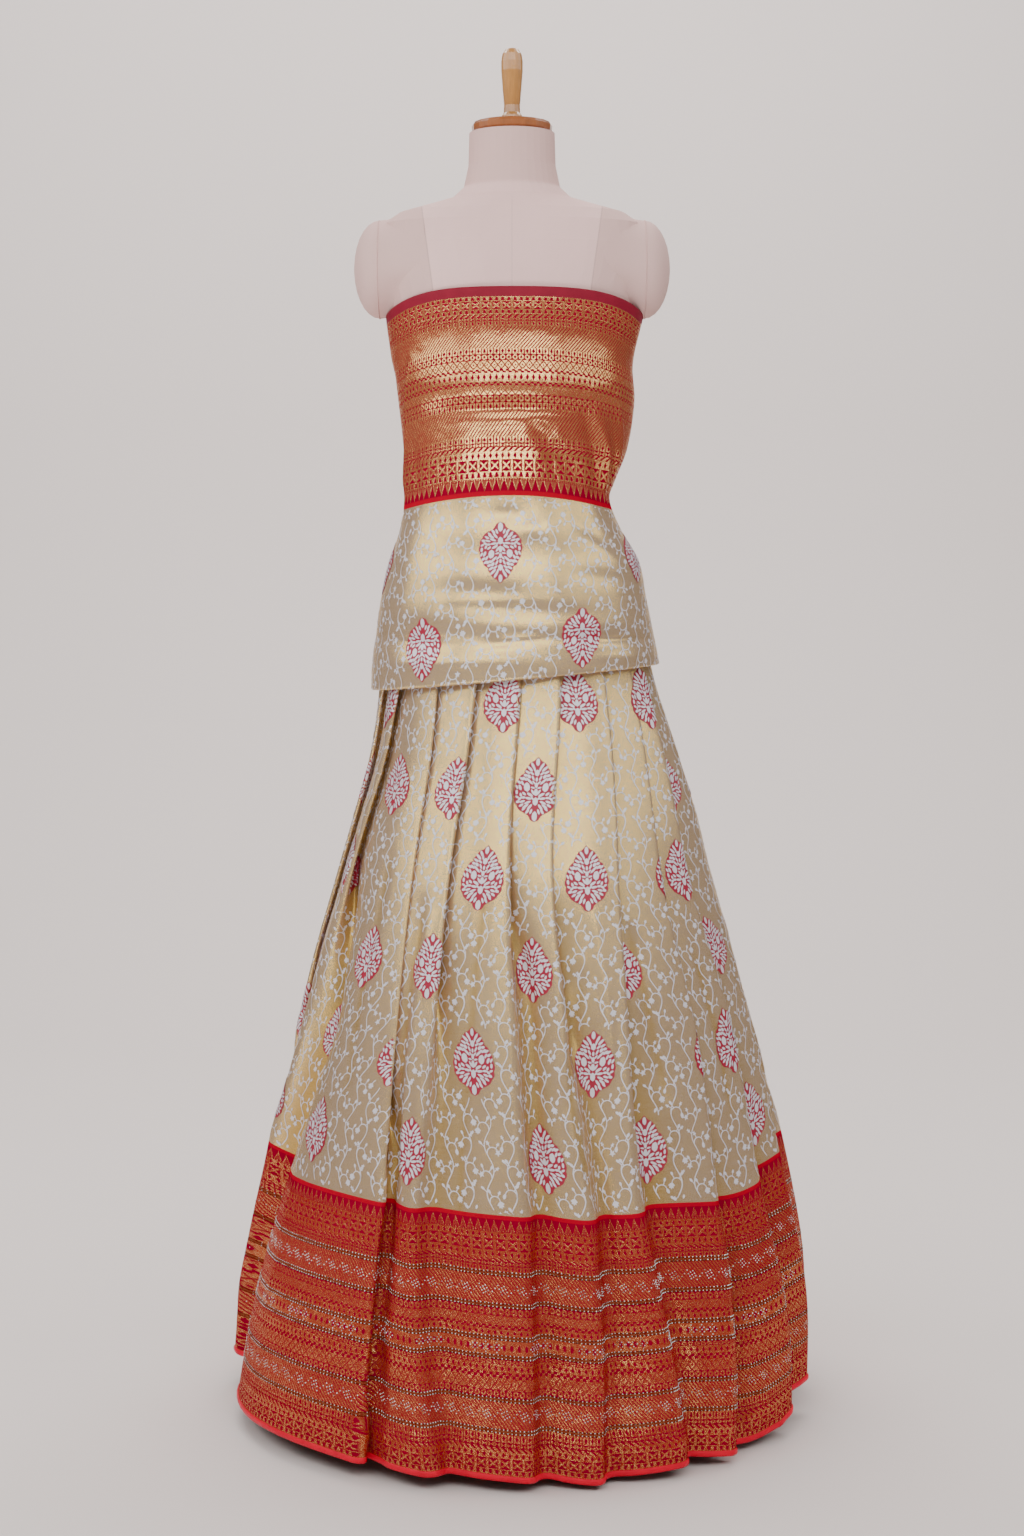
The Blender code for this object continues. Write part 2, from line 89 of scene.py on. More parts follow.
# The folds seen from the front: the fold edge's angle at five heights, the height where the pleat
# opens, and at the hem the tuck (mm), the depth of the valley (mm) and the rise after it
FOLD_HEIGHTS = (0.84, 0.66, 0.45, 0.27, 0.01)
FRONT_FOLDS = (
    (-57.0, -66.0, -72.0, -86.0, -96.0, 0.60, -32.0, 44.0, 1.8),
    (-33.0, -34.0, -31.0, -29.0, -28.5, 0.50, 9.0, 21.0, 1.1),
    (-15.0, -20.0, -20.5, -21.0, -14.0, 0.54, -9.0, 17.0, 1.0),
    (3.5, -0.5, 1.5, 3.5, 4.3, 0.67, -8.0, 19.0, 1.0),
    (19.6, 12.0, 13.5, 16.5, 16.5, 0.58, -8.0, 18.0, 1.1),
    (40.0, 32.5, 28.0, 27.0, 33.0, 0.46, -9.0, 22.0, 1.0),
    (57.0, 48.0, 48.5, 46.0, 45.0, 0.36, 6.0, 28.0, 1.0),
    (70.0, 61.0, 64.0, 62.0, 66.0, 0.42, 5.0, 30.0, 1.1),
)

# The folds behind: how many, the middle and spread of each measure, and how fast each one varies
HIDDEN_FOLDS = 12
HIDDEN_SHIFT = 2.2
HIDDEN_OPENS = (0.50, 0.06)
HIDDEN_TUCK = (-4.0, 9.0)
HIDDEN_DEPTH = (34.0, 8.0)
FOLD_WAVE = 2.4
LEVEL_WAVE = 0.7
TUCK_WAVE = 1.9
DEPTH_WAVE = 3.1

# How far the cloth is pulled up low down: degrees, metres
LIFT = (
    (180.0, 0.006),
    (130.0, 0.018),
    (95.0, 0.032),
    (74.0, 0.028),
    (54.0, 0.001),
    (33.0, 0.003),
    (15.0, -0.003),
    (2.0, 0.003),
    (-20.0, 0.007),
    (-45.0, 0.013),
    (-78.0, 0.012),
    (-90.0, 0.025),
    (-120.0, 0.020),
    (-180.0, 0.006),
)
LIFT_FROM = 0.85
LIFT_TAKES = 0.60

PANEL_SHARES = (0.30, 0.55, 0.80)
PANEL_FALL = 1.3

# A fold from its edge inwards, as shares of its valley's offset and depth
TUCK_POINTS = ((0.0, 0.18), (0.35, 0.42), (1.0, 0.84))
PLEAT_TUCK = 0.50
LAYERS_AT_WAIST = 0.008
LAYERS_AT_HIP = 0.014
LAYERS_OPENING = 0.018
LAYERS_TAKE = 0.12
LAYERS_PART_BY = 3.0
OPENING_STARTS = 0.07
OPENING_TAKES = 0.26
PRESSED_BEND = 0.003
OPEN_BEND = 0.26

# The wrapped cloth's outer form, with the same columns as the skirt's outline
WRAP_OUTLINE = (
    (1.293, 0.151, 0.161, 0.108, 0.110),
    (1.250, 0.1475, 0.151, 0.113, 0.108),
    (1.210, 0.142, 0.143, 0.118, 0.105),
    (1.170, 0.137, 0.1445, 0.118, 0.103),
    (1.114, 0.131, 0.136, 0.108, 0.097),
    (1.075, 0.130, 0.121, 0.099, 0.095),
    (1.055, 0.128, 0.115, 0.098, 0.095),
    (1.020, 0.132, 0.128, 0.105, 0.102),
    (0.980, 0.145, 0.150, 0.121, 0.122),
    (0.940, 0.154, 0.158, 0.130, 0.132),
    (0.900, 0.160, 0.166, 0.136, 0.140),
    (0.860, 0.165, 0.174, 0.141, 0.145),
    (0.830, 0.166, 0.178, 0.144, 0.148),
)

# Soft folds of the wrapped cloth: from angle and height, to angle and height, half width, rise
WRAP_FOLDS = (
    (38.0, 1.172, 72.0, 1.044, 0.0075, 0.0048),
    (57.0, 1.168, 76.0, 1.070, 0.0065, 0.0040),
    (30.0, 1.165, 60.0, 1.050, 0.0075, -0.0036),
    (4.0, 1.152, 46.0, 1.050, 0.0080, -0.0034),
    (16.0, 1.110, 30.0, 1.050, 0.0050, -0.0022),
    (-44.0, 1.151, 38.0, 1.154, 0.0085, -0.0048),
    (-38.0, 1.140, 36.0, 1.142, 0.0050, 0.0016),
    (-62.0, 1.135, -58.0, 1.045, 0.0090, -0.0028),
    (-72.0, 0.905, 20.0, 0.888, 0.013, -0.0030),
    (-40.0, 0.948, 12.0, 0.940, 0.012, -0.0025),
    (14.0, 0.897, 78.0, 0.893, 0.007, -0.0035),
    (-100.0, 1.236, 100.0, 1.236, 0.028, -0.0064),
    (-76.0, 1.176, 58.0, 1.179, 0.022, 0.0040),
    (-36.0, 0.919, 40.0, 0.921, 0.010, -0.0022),
    (-90.0, 0.893, -20.0, 0.878, 0.009, -0.0026),
    (0.0, 1.012, 20.0, 1.020, 0.010, -0.0018),
    (30.0, 1.030, 52.0, 1.005, 0.010, -0.0016),
    (20.0, 0.968, 66.0, 0.955, 0.010, -0.0016),
    (-86.0, 0.995, -58.0, 0.960, 0.010, -0.0020),
)

# Finer creases of the wrapped cloth, in the same columns
WRAP_CREASES = (
    (39.0, 1.152, 60.0, 1.088, 0.0035, 0.0022),
    (46.0, 1.150, 66.0, 1.080, 0.0030, -0.0018),
    (56.0, 1.145, 68.0, 1.096, 0.0030, 0.0020),
    (10.8, 1.124, 31.0, 1.070, 0.0050, -0.0014),
    (12.0, 0.8915, 82.0, 0.8900, 0.0026, -0.0026),
    (10.0, 0.8970, 80.0, 0.8965, 0.0040, 0.0014),
    (-36.0, 0.929, 20.0, 0.927, 0.0050, -0.0014),
    (-84.0, 0.897, -17.0, 0.883, 0.0050, -0.0018),
    (-17.0, 0.883, 19.0, 0.896, 0.0050, -0.0016),
    (-13.0, 1.033, 8.0, 1.034, 0.0080, -0.0014),
    (-70.0, 0.862, 10.0, 0.866, 0.0060, 0.0012),
    (30.0, 0.870, 74.0, 0.872, 0.0050, 0.0012),
    (-60.0, 1.010, -30.0, 0.985, 0.0070, -0.0010),
    (28.0, 1.020, 60.0, 0.975, 0.0070, 0.0014),
    (150.0, 0.930, 185.0, 0.905, 0.0070, -0.0018),
    (-150.0, 0.960, -100.0, 0.945, 0.0080, -0.0018),
    (110.0, 0.900, 160.0, 0.915, 0.0060, -0.0018),
    (-140.0, 1.120, -110.0, 1.080, 0.0060, 0.0016),
    (120.0, 1.130, 150.0, 1.090, 0.0060, 0.0016),
)

# The front layer's fold down the viewer's left of the bodice: height, angle
BODICE_EDGE = ((1.215, -58.0), (1.179, -64.0), (1.112, -75.0), (1.079, -79.0), (1.041, -80.0))
BODICE_EDGE_DROP = 0.0030
BODICE_RIDGE_DEG = 1.6
BODICE_RIDGE_RISE = 0.0012

# Where that fold starts and ends, each with the room it takes: heights, and degrees past it
BODICE_EDGE_TOP = (1.225, 0.03)
BODICE_EDGE_FOOT = (1.030, 0.015)
BODICE_EDGE_STEP = 1.5
BODICE_EDGE_END = (-125.0, 30.0)

# Soft creases of the skirt: half width, rise, then angle and height down the crease
SKIRT_CREASES = (
    (0.007, -0.0035, ((-28.3, 0.614), (-29.6, 0.486), (-29.6, 0.376), (-28.6, 0.271))),
    (0.006, 0.0020, ((-25.0, 0.600), (-26.4, 0.486), (-26.8, 0.376), (-26.2, 0.271))),
    (0.009, -0.0035, ((1.6, 0.592), (3.0, 0.495), (4.0, 0.389), (4.8, 0.273))),
    (0.007, -0.0030, ((18.4, 0.539), (13.6, 0.434), (12.8, 0.392), (17.3, 0.274))),
    (0.008, -0.0032, ((32.2, 0.588), (34.3, 0.513), (35.5, 0.438), (37.4, 0.368))),
    (0.006, 0.0018, ((22.0, 0.620), (23.5, 0.500), (22.5, 0.400))),
    (0.006, -0.0020, ((-8.0, 0.640), (-10.5, 0.520), (-12.0, 0.380), (-12.0, 0.200))),
    (0.007, -0.0022, ((-45.0, 0.660), (-46.0, 0.520), (-45.0, 0.360))),
    (0.008, 0.0022, ((-58.0, 0.560), (-60.0, 0.400), (-62.0, 0.250), (-60.0, 0.060))),
    (0.006, -0.0022, ((55.0, 0.560), (57.0, 0.440), (56.0, 0.340))),
    (0.008, -0.0030, ((-28.6, 0.280), (-27.2, 0.117), (-25.4, 0.012))),
    (0.008, -0.0022, ((-12.1, 0.275), (-12.0, 0.108), (-11.9, 0.012))),
    (0.008, -0.0026, ((4.8, 0.273), (5.0, 0.150), (4.5, 0.012))),
    (0.007, -0.0022, ((17.3, 0.274), (17.5, 0.094), (17.2, 0.012))),
    (0.008, 0.0026, ((43.1, 0.271), (45.9, 0.180), (51.6, 0.089), (60.0, 0.012))),
    (0.007, -0.0024, ((52.2, 0.280), (48.5, 0.178), (46.6, 0.022))),
)
HIDDEN_CREASES = 26
HIDDEN_CREASES_FROM = 78.0
HIDDEN_CREASES_OVER = 200.0
CREASE_FADE = 0.05
# How wide the painted shade along a sunken crease's trough is
CREASE_SHADE_WIDTH = 0.0042

# A crease that ends above this height fades out there; the others run over the hem
FREE_END_ABOVE = 0.02

# Rough reach of the wrapped body and of the hem, which turns angles into lengths
WRAP_REACH = 0.13
HEM_REACH = 0.33

# Where the border swells out low down: from angle and height, to angle and height, half width, rise
SKIRT_SWELLS = (
    (-40.0, 0.040, -6.0, 0.026, 0.024, 0.0068),
    (-5.0, 0.060, 6.0, 0.052, 0.014, 0.0034),
    (-36.0, 0.020, -27.0, 0.074, 0.007, 0.0030),
    (-27.0, 0.018, -17.0, 0.066, 0.007, -0.0026),
    (-14.0, 0.010, -20.0, 0.060, 0.008, 0.0022),
    (-46.0, 0.060, -36.0, 0.076, 0.010, 0.0030),
    (22.0, 0.028, 36.0, 0.036, 0.014, 0.0042),
    (46.0, 0.020, 58.0, 0.040, 0.016, 0.0036),
    (-30.0, 0.150, -22.0, 0.128, 0.012, 0.0026),
    (100.0, 0.040, 130.0, 0.030, 0.020, 0.0050),
    (150.0, 0.050, 178.0, 0.036, 0.020, 0.0050),
    (-150.0, 0.030, -118.0, 0.044, 0.020, 0.0050),
)

# Where the threads of the cloth lie: u at each front fold while it is pressed, and what the open
# fold lets out
FOLD_THREADS = (-0.362, -0.239, -0.088, 0.0146, 0.115, 0.226, 0.363, 0.58)
FOLD_GAINS = (-0.10, 0.067, 0.0, 0.03, 0.022, 0.01, 0.005, 0.0)
CLOTH_ROUND = 2.66
LEAST_THREAD = 0.010

# The woven repeat: one medallion in each cell, rows half a repeat apart
REPEAT = 0.19
ROW_STEP = 0.1015
FIRST_ROW = 0.3235
FIRST_SHIFT = 0.095

# The border's woven rows from the hem up: kind, height and pitch in mm
BORDER_BANDS = (
    ("drops", 6.0, 7.0),
    ("blossoms", 11.0, 13.0),
    ("diamonds", 7.0, 7.0),
    ("rope", 4.0, 7.0),
    ("bows", 6.0, 7.0),
    ("bars", 8.5, 7.0),
    ("line", 4.5, 8.0),
    ("twill", 27.0, 4.0),
    ("line", 4.5, 8.0),
    ("rings", 7.8, 7.0),
    ("lattice", 12.0, 9.0),
    ("check", 6.0, 7.0),
    ("diamonds", 8.0, 7.0),
    ("rings", 5.0, 7.0),
    ("line", 4.5, 8.0),
    ("plain", 14.8, 8.0),
    ("line", 4.4, 8.0),
    ("diamonds", 7.0, 7.0),
    ("check", 4.5, 7.0),
    ("lattice", 9.0, 8.0),
    ("rings", 8.3, 7.0),
    ("line", 4.5, 8.0),
    ("twill", 28.0, 4.0),
    ("line", 4.6, 8.0),
    ("bars", 5.6, 7.0),
    ("bows", 5.0, 7.0),
    ("rope", 3.0, 7.0),
    ("diamonds", 8.0, 7.0),
    ("blossoms", 12.0, 13.0),
    ("diamonds", 7.0, 7.0),
    ("dots", 2.0, 3.0),
    ("temple", 11.0, 9.0),
    ("redline", 4.5, 8.0),
)

# The rows of the same border as the wrap shows them, from the selvage down
BODICE_BANDS = (
    ("drops", 5.0, 7.0),
    ("blossoms", 8.0, 12.0),
    ("drops", 5.0, 7.0),
    ("rope", 3.0, 7.0),
    ("bows", 4.0, 7.0),
    ("bars", 5.0, 7.0),
    ("twill", 23.0, 4.0),
    ("bars", 6.0, 7.0),
    ("rings", 7.0, 7.0),
    ("lattice", 9.0, 8.0),
    ("check", 4.0, 7.0),
    ("diamonds", 9.0, 7.0),
    ("check", 4.0, 7.0),
    ("lattice", 9.0, 8.0),
    ("rings", 8.0, 7.0),
    ("bars", 7.0, 7.0),
    ("twill", 27.0, 4.0),
    ("bars", 6.0, 7.0),
    ("bows", 5.0, 7.0),
    ("rope", 4.0, 7.0),
    ("diamonds", 8.0, 7.0),
    ("blossoms", 12.0, 13.0),
    ("drops", 7.0, 7.0),
    ("dots", 2.0, 3.0),
    ("temple", 11.0, 9.0),
    ("redline", 5.0, 8.0),
)

# The pattern's two threads, and how far each kind of figure lies off the cloth
SILVER, CRIMSON = 0, 1
STEM_LIFT = 0.00034
LEAF_LIFT = 0.00036
GROWTH_LIFT = 0.00040
PETAL_LIFT = 0.00085

# Stones on the skirt's border: heights of the double rows and of the zigzags, from the hem
STONE_ROWS = (0.0448, 0.0762, 0.1196, 0.1388, 0.1721, 0.2046)
STONE_PITCH = 0.0044
STONE_PAIR = 0.0034
STONE_RADIUS = 0.00070
STONE_HEIGHT = 0.0006
STONE_SIDES = 6
ZIGZAGS = (0.0611, 0.1873)
ZIGZAG_PITCH = 0.0205
SQUARE_STEP = 0.0031
SQUARE_LEAN = 28.0
CLUSTER_ROW = 0.1290
CLUSTER_PITCH = 0.066
CLUSTER_FLOWERS = (-0.0120, 0.0, 0.0120)
FLOWER_STONES = 8
FLOWER_REACH = (0.0052, 0.0033)

# The slanting stones between two squares: how many, their start and step across as shares of the
# pitch, and their start and step up in metres
SLASH_STONES = 4
SLASH_ACROSS = (0.27, 0.155)
SLASH_UP = (-0.0052, 0.0034)

# How far a stone's foot lies off the cloth, and the height that shows which way is out
STONE_SEAT = 0.0002
STONE_PROBE = 0.0012

# How much of a woven figure shows as gold thread on the skirt, and where the wrap is drawn tight
SKIRT_WEFT = 0.37
BODICE_WEFT = 0.51

# Medallion: half width by distance below its tip, and petals of its right half, in mm
MEDALLION_WIDTHS = (
    (0.0, 0.0), (4.5, 2.6), (6.0, 6.4), (9.0, 10.2), (13.0, 10.6), (15.5, 13.6), (18.5, 14.0),
    (21.5, 17.8), (25.0, 18.4), (28.0, 21.6), (33.0, 22.2),
    (38.0, 24.0), (45.0, 23.8), (51.0, 22.8), (56.0, 20.8), (60.5, 17.0), (64.0, 12.5), (66.5, 7.4),
    (68.5, 4.8), (71.0, 4.4), (73.5, 3.2), (74.5, 0.0),
)
MEDALLION_TIP = 37.0
MEDALLION_ROWS = 32
SCALLOP_REACH = 1.3
SCALLOP_ROWS = 4
MEDALLION_SHARES = (
    -1.0, -0.85, -0.68, -0.51, -0.34, -0.17, 0.0, 0.17, 0.34, 0.51, 0.68, 0.85, 1.0
)
PETAL_SIZE = 1.02
MIDDLE_PETALS = (
    (31.0, 9.0, 4.4), (18.5, 7.5, 5.4), (11.0, 5.0, 2.6), (4.5, 6.5, 3.4), (-3.5, 8.5, 4.2),
    (-14.0, 9.5, 5.8), (-31.0, 11.5, 5.8),
)
SIDE_PETALS = (
    (3.4, 23.4, 74.0, 7.5, 2.3), (5.2, 26.6, 60.0, 8.6, 2.9), (8.4, 23.2, 44.0, 9.0, 3.0),
    (10.6, 19.2, 30.0, 6.6, 2.6), (5.8, 18.0, 38.0, 6.0, 2.2), (4.2, 12.6, 62.0, 6.6, 2.2),
    (8.8, 14.4, 50.0, 5.4, 3.4), (12.8, 15.6, 20.0, 4.6, 3.0), (8.0, 9.2, 44.0, 11.5, 2.5),
    (13.4, 11.6, 40.0, 6.6, 2.4), (16.6, 11.6, 28.0, 6.0, 2.8), (19.4, 7.6, 36.0, 5.6, 2.8),
    (15.6, 6.6, 62.0, 6.2, 2.4), (10.4, 2.2, 82.0, 10.6, 6.8), (18.0, 1.6, 68.0, 7.0, 3.0),
    (21.6, 2.0, 60.0, 5.6, 2.4), (21.4, -3.8, 84.0, 5.6, 2.8), (2.8, 7.4, 48.0, 5.6, 1.9),
    (3.6, 1.6, 12.0, 5.0, 2.0), (3.2, -3.6, 58.0, 7.6, 2.4), (6.4, -6.4, 30.0, 8.0, 3.0),
    (7.8, -10.6, 8.0, 7.4, 2.8), (3.6, -10.4, 52.0, 4.6, 2.0), (13.0, -5.4, 40.0, 5.4, 2.6),
    (16.6, -6.8, 70.0, 4.8, 2.6), (13.6, -9.8, 0.0, 5.4, 2.6), (17.4, -11.2, -40.0, 5.0, 2.6),
    (20.6, -9.4, 30.0, 4.6, 2.4), (19.4, -14.8, -20.0, 4.8, 3.2), (14.4, -14.4, -20.0, 6.4, 2.6),
    (8.6, -15.4, -24.0, 8.0, 2.6), (15.4, -18.6, -34.0, 6.0, 2.6), (10.6, -19.6, -38.0, 8.4, 2.8),
    (6.0, -20.6, -54.0, 8.6, 2.8), (12.4, -22.8, -44.0, 5.4, 2.4), (8.2, -25.6, -54.0, 6.6, 2.8),
    (4.2, -25.6, -70.0, 6.4, 2.4),
)

# Vines, in mm: stems sway upwards side by side, and scrolls fill the room between them
STEM_COUNT = 8
STEM_SWAY = 4.6
STEM_WIDTH = 1.35
STEM_STEP = 3.6
STEM_BENDS = 4
SCROLL_REACH = 6.9
SCROLL_STARTS = (0.40, 0.72)
SCROLL_TURN_DEG = 172.0
SCROLL_CLOSES = 0.20
SCROLL_RISE = 1.5
SCROLL_STEPS = 9
SPRIG_LENGTH = 3.8
SPRIG_WIDTH = 0.8 * STEM_WIDTH
GROWTH_ROOM = 3.0
GROWTH_SINK = 0.6
THREAD_THINS = 0.35
MEDALLION_ROOM = (27.5, 40.5)

# Seams of the form's panels: how far out they start and lean, and how high they go, then the height
# above which the neck gets painted shade
PANEL_SEAM_LEAN = 0.14
PANEL_SEAM_START = -0.090
PANEL_TOP = 1.400
NECK_SHADE_FROM = 1.422
SEAM_HALF_WIDTH = 0.0007
MIDDLE_SEAM_HALF_WIDTH = 0.0006
SEAM_SOFTNESS = 0.0005
PANEL_SOFTNESS = 0.0006

# Shoulder caps: middle, radii, where the torso's cover runs out to them, and the corded seam
CAP_X = 0.1563
CAP_RADII = (0.030, 0.056, 0.0575)
CAP_Z = 1.3255
CAP_JOIN_X = 0.104
CAP_JOIN_STEPS = 6
CAP_JOIN_PULL = 0.55
CAP_JOIN_SINK = 0.003
CAP_LEANS = (0.0, 12.0, 25.0, 38.0, 50.0, 62.0, 74.0, 84.0, 89.0)
CAP_TURNS = 40
SEAM_CORD = 0.0008
CORD_SIDES = 6

COLOURS = {
    "gold": (0.98, 0.69, 0.20),
    # Painted shade of the folds, the creases and the hips' roll
    "taupe": (0.38, 0.265, 0.215),
    "fold_shade_ochre": (0.46, 0.28, 0.07),
    "silver": (0.80, 0.75, 0.80),
    "crimson": (0.38, 0.002, 0.030),
    "border_red": (0.32, 0.002, 0.024),
    "border_dark": (0.20, 0.001, 0.016),
    "border_brown": (0.10, 0.006, 0.004),
    "line_red": (0.45, 0.001, 0.016),
    "copper": (1.0, 0.64, 0.24),
    "under_gold": (0.31, 0.013, 0.011),
    "piping": (0.85, 0.002, 0.035),
    "maroon": (0.27, 0.012, 0.032),
    "jersey": (0.94, 0.62, 0.58),
    "side_panel_and_neck_shade": (0.75, 0.49, 0.45),
    "handle_wood": (0.66, 0.29, 0.065),
    "cap_wood": (0.46, 0.135, 0.03),
    "metal": (0.62, 0.60, 0.58),
    "stone": (0.90, 0.94, 0.92),
    "stone_shade": (0.12, 0.085, 0.07),
    "backdrop": (0.82, 0.732, 0.698),
}


def smooth(t):
    """0 below t = 0 and 1 above t = 1, with a soft start and end."""
    t = np.clip(t, 0.0, 1.0)
    return t * t * (3.0 - 2.0 * t)


def hermite(t, start, start_pull, end, end_pull):
    """A smooth curve from start to end at t, which leaves and arrives by its pulls."""
    return (
        (2 * t**3 - 3 * t**2 + 1) * start
        + (t**3 - 2 * t**2 + t) * start_pull
        + (3 * t**2 - 2 * t**3) * end
        + (t**3 - t**2) * end_pull
    )


def half_turns(degrees):
    """The same angles between -180 and 180."""
    return (degrees + 180.0) % 360.0 - 180.0


def along(table, column, z):
    """A column of a table whose rows go from high to low, read smoothly at height z."""
    heights = [row[0] for row in table]
    if z >= heights[0]:
        return table[0][column]
    if z <= heights[-1]:
        return table[-1][column]
    i = max(k for k in range(len(heights) - 1) if heights[k] >= z)
    below = min(i + 2, len(heights) - 1)
    above = max(i - 1, 0)
    z0, z1 = heights[i], heights[i + 1]
    v0, v1 = table[i][column], table[i + 1][column]
    span = z1 - z0
    slope0 = (v1 - table[above][column]) / (z1 - heights[above]) * span
    slope1 = (table[below][column] - v0) / (heights[below] - z0) * span
    return hermite((z - z0) / span, v0, slope0, v1, slope1)


def on_outline(table, z, degrees, inset=0.0):
    """The point of an outline at an angle, moved in by inset."""
    a = math.radians(degrees)
    s, c = math.sin(a), math.cos(a)
    wide = along(table, 2 if s > 0 else 1, z)
    deep = along(table, 3 if c > 0 else 4, z)
    out = np.array((s / wide, -c / deep))
    out /= np.linalg.norm(out)
    return np.array((wide * s, -deep * c)) - out * inset


def fold_rows():
    """Every fold of the skirt in order round it, those at the front as seen and the rest even."""
    rows = [list(row) for row in FRONT_FOLDS]
    first, last = FRONT_FOLDS[0], FRONT_FOLDS[-1]
    for i in range(1, HIDDEN_FOLDS + 1):
        share = i / (HIDDEN_FOLDS + 1)
        angles = []
        for level in range(len(FOLD_HEIGHTS)):
            even = last[level] + (first[level] + 360.0 - last[level]) * share
            angles.append(even + HIDDEN_SHIFT * math.sin(FOLD_WAVE * i + LEVEL_WAVE * level))
        opens = HIDDEN_OPENS[0] + HIDDEN_OPENS[1] * math.sin(FOLD_WAVE * i)
        tuck = HIDDEN_TUCK[0] + HIDDEN_TUCK[1] * math.cos(TUCK_WAVE * i)
        depth = HIDDEN_DEPTH[0] + HIDDEN_DEPTH[1] * math.sin(DEPTH_WAVE * i)
        rows.append([*angles, opens, tuck, depth, 1.0])
    return rows


FOLDS = fold_rows()


def fold_angle(row, z):
    """The angle of a fold edge at height z."""
    table = [(height, row[i]) for i, height in enumerate(FOLD_HEIGHTS)]
    return along(table, 1, z)


def degrees_per_metre(z, degrees):
    """How many degrees of the outline one metre of its edge takes, at an angle."""
    here = on_outline(SKIRT_OUTLINE, z, degrees - 1.0)
    there = on_outline(SKIRT_OUTLINE, z, degrees + 1.0)
    return 2.0 / np.linalg.norm(there - here)


def opened(index, z):
    """How far a pleat has opened at height z, from 0 to 1."""
    opens_at = FOLDS[index][len(FOLD_HEIGHTS)]
    return smooth((opens_at + OPENING_STARTS - z) / OPENING_TAKES)


def fold_state(index, z):
    """A fold at height z: its edge's angle, its valley's offset, depth, next rise and bend."""
    *_, tuck, valley, next_rise = FOLDS[index]
    edge = fold_angle(FOLDS[index], z)
    panel = (edge - fold_angle(FOLDS[index - 1], z)) % 360.0
    wide_open = opened(index, z)
    scale = degrees_per_metre(z, edge)
    pressed = -PLEAT_TUCK * panel
    offset = pressed + (-tuck / 1000.0 * scale - pressed) * wide_open
    layers = LAYERS_AT_WAIST + (LAYERS_AT_HIP - LAYERS_AT_WAIST) * smooth((WAIST - z) / LAYERS_TAKE)
    layers += (LAYERS_OPENING - LAYERS_AT_HIP) * smooth(wide_open * LAYERS_PART_BY)
    depth = layers + (valley / 1000.0 - layers) * wide_open
    rise = 1.0 + (next_rise - 1.0) * wide_open
    bend = (PRESSED_BEND + OPEN_BEND * valley / 1000.0 * wide_open) * scale
    return edge, offset, depth, rise, bend


def fold_points(index, z):
    """A panel and the fold that ends it, as angles and depths below the outline."""
    last_edge, last_offset, last_depth, last_rise, last_bend = fold_state(index - 1, z)
    edge, offset, depth, _, bend = fold_state(index, z)
    if edge < last_edge:
        edge += 360.0
    start = last_edge + last_offset + last_bend
    shoulder = edge - bend
    points = [(start, last_depth)]
    for share in PANEL_SHARES:
        angle = start + (shoulder - start) * share**last_rise
        points.append((angle, last_depth * (1.0 - share) ** (PANEL_FALL * last_rise)))
    points.append((shoulder, 0.0))
    return points + [(edge + turned * offset, deep * depth) for turned, deep in TUCK_POINTS]


def lifted(z, degrees):
    """The height of a level of the skirt at an angle."""
    return z + along(LIFT, 1, half_turns(degrees)) * smooth((LIFT_FROM - z) / LIFT_TAKES)


def skirt_ring(z):
    """The skirt's cloth at one level: points round it, with the angle and depth of each."""
    ring = []
    for index in range(len(FOLDS)):
        for degrees, depth in fold_points(index, z):
            x, y = on_outline(SKIRT_OUTLINE, z, degrees, depth)
            ring.append((x, y, lifted(z, degrees), degrees, depth))
    return ring


def unit(vectors):
    """The same vectors at length 1."""
    return vectors / np.linalg.norm(vectors, axis=-1, keepdims=True)


# Points on the pieces of cloth between a fold's points, and where its panel ends
PIECE_STEPS = (5, 5, 5, 5, 2, 2, 3, 2)
FOLD_COLUMNS = sum(PIECE_STEPS)
SHOULDER_COLUMN = sum(PIECE_STEPS[:4])
FLATTEST_BEND = 1.5


def smooth_rings(rings):
    """Closed smooth curves through rows of points, whose last columns are only blended."""
    where = rings[..., :3]
    ahead = np.roll(where, -1, axis=1) - where
    length = np.linalg.norm(ahead, axis=2)
    way = ahead / length[..., None]
    tangent = unit(way + np.roll(way, 1, axis=1))
    count = rings.shape[1]
    made = []
    for i in range(count):
        after = (i + 1) % count
        start_pull = np.minimum(length[:, i], FLATTEST_BEND * length[:, i - 1])[:, None]
        start_pull = start_pull * tangent[:, i]
        end_pull = np.minimum(length[:, i], FLATTEST_BEND * length[:, after])[:, None]
        end_pull = end_pull * tangent[:, after]
        steps = PIECE_STEPS[i % len(PIECE_STEPS)]
        for step in range(steps):
            t = step / steps
            point = hermite(t, where[:, i], start_pull, where[:, after], end_pull)
            angle = rings[:, i, 3] + half_turns(rings[:, after, 3] - rings[:, i, 3]) * t
            depth = rings[:, i, 4] + (rings[:, after, 4] - rings[:, i, 4]) * t
            made.append(np.column_stack([point, angle, depth]))
    return np.stack(made, axis=1)


def grid_normals(points, closed):
    """The outward direction at each point of a grid whose rows go down and columns go round."""
    if closed:
        padded = np.concatenate([points[:, -1:], points, points[:, :1]], axis=1)
        round_it = padded[:, 2:] - padded[:, :-2]
    else:
        round_it = np.gradient(points, axis=1)
    return unit(np.cross(np.gradient(points, axis=0), round_it))


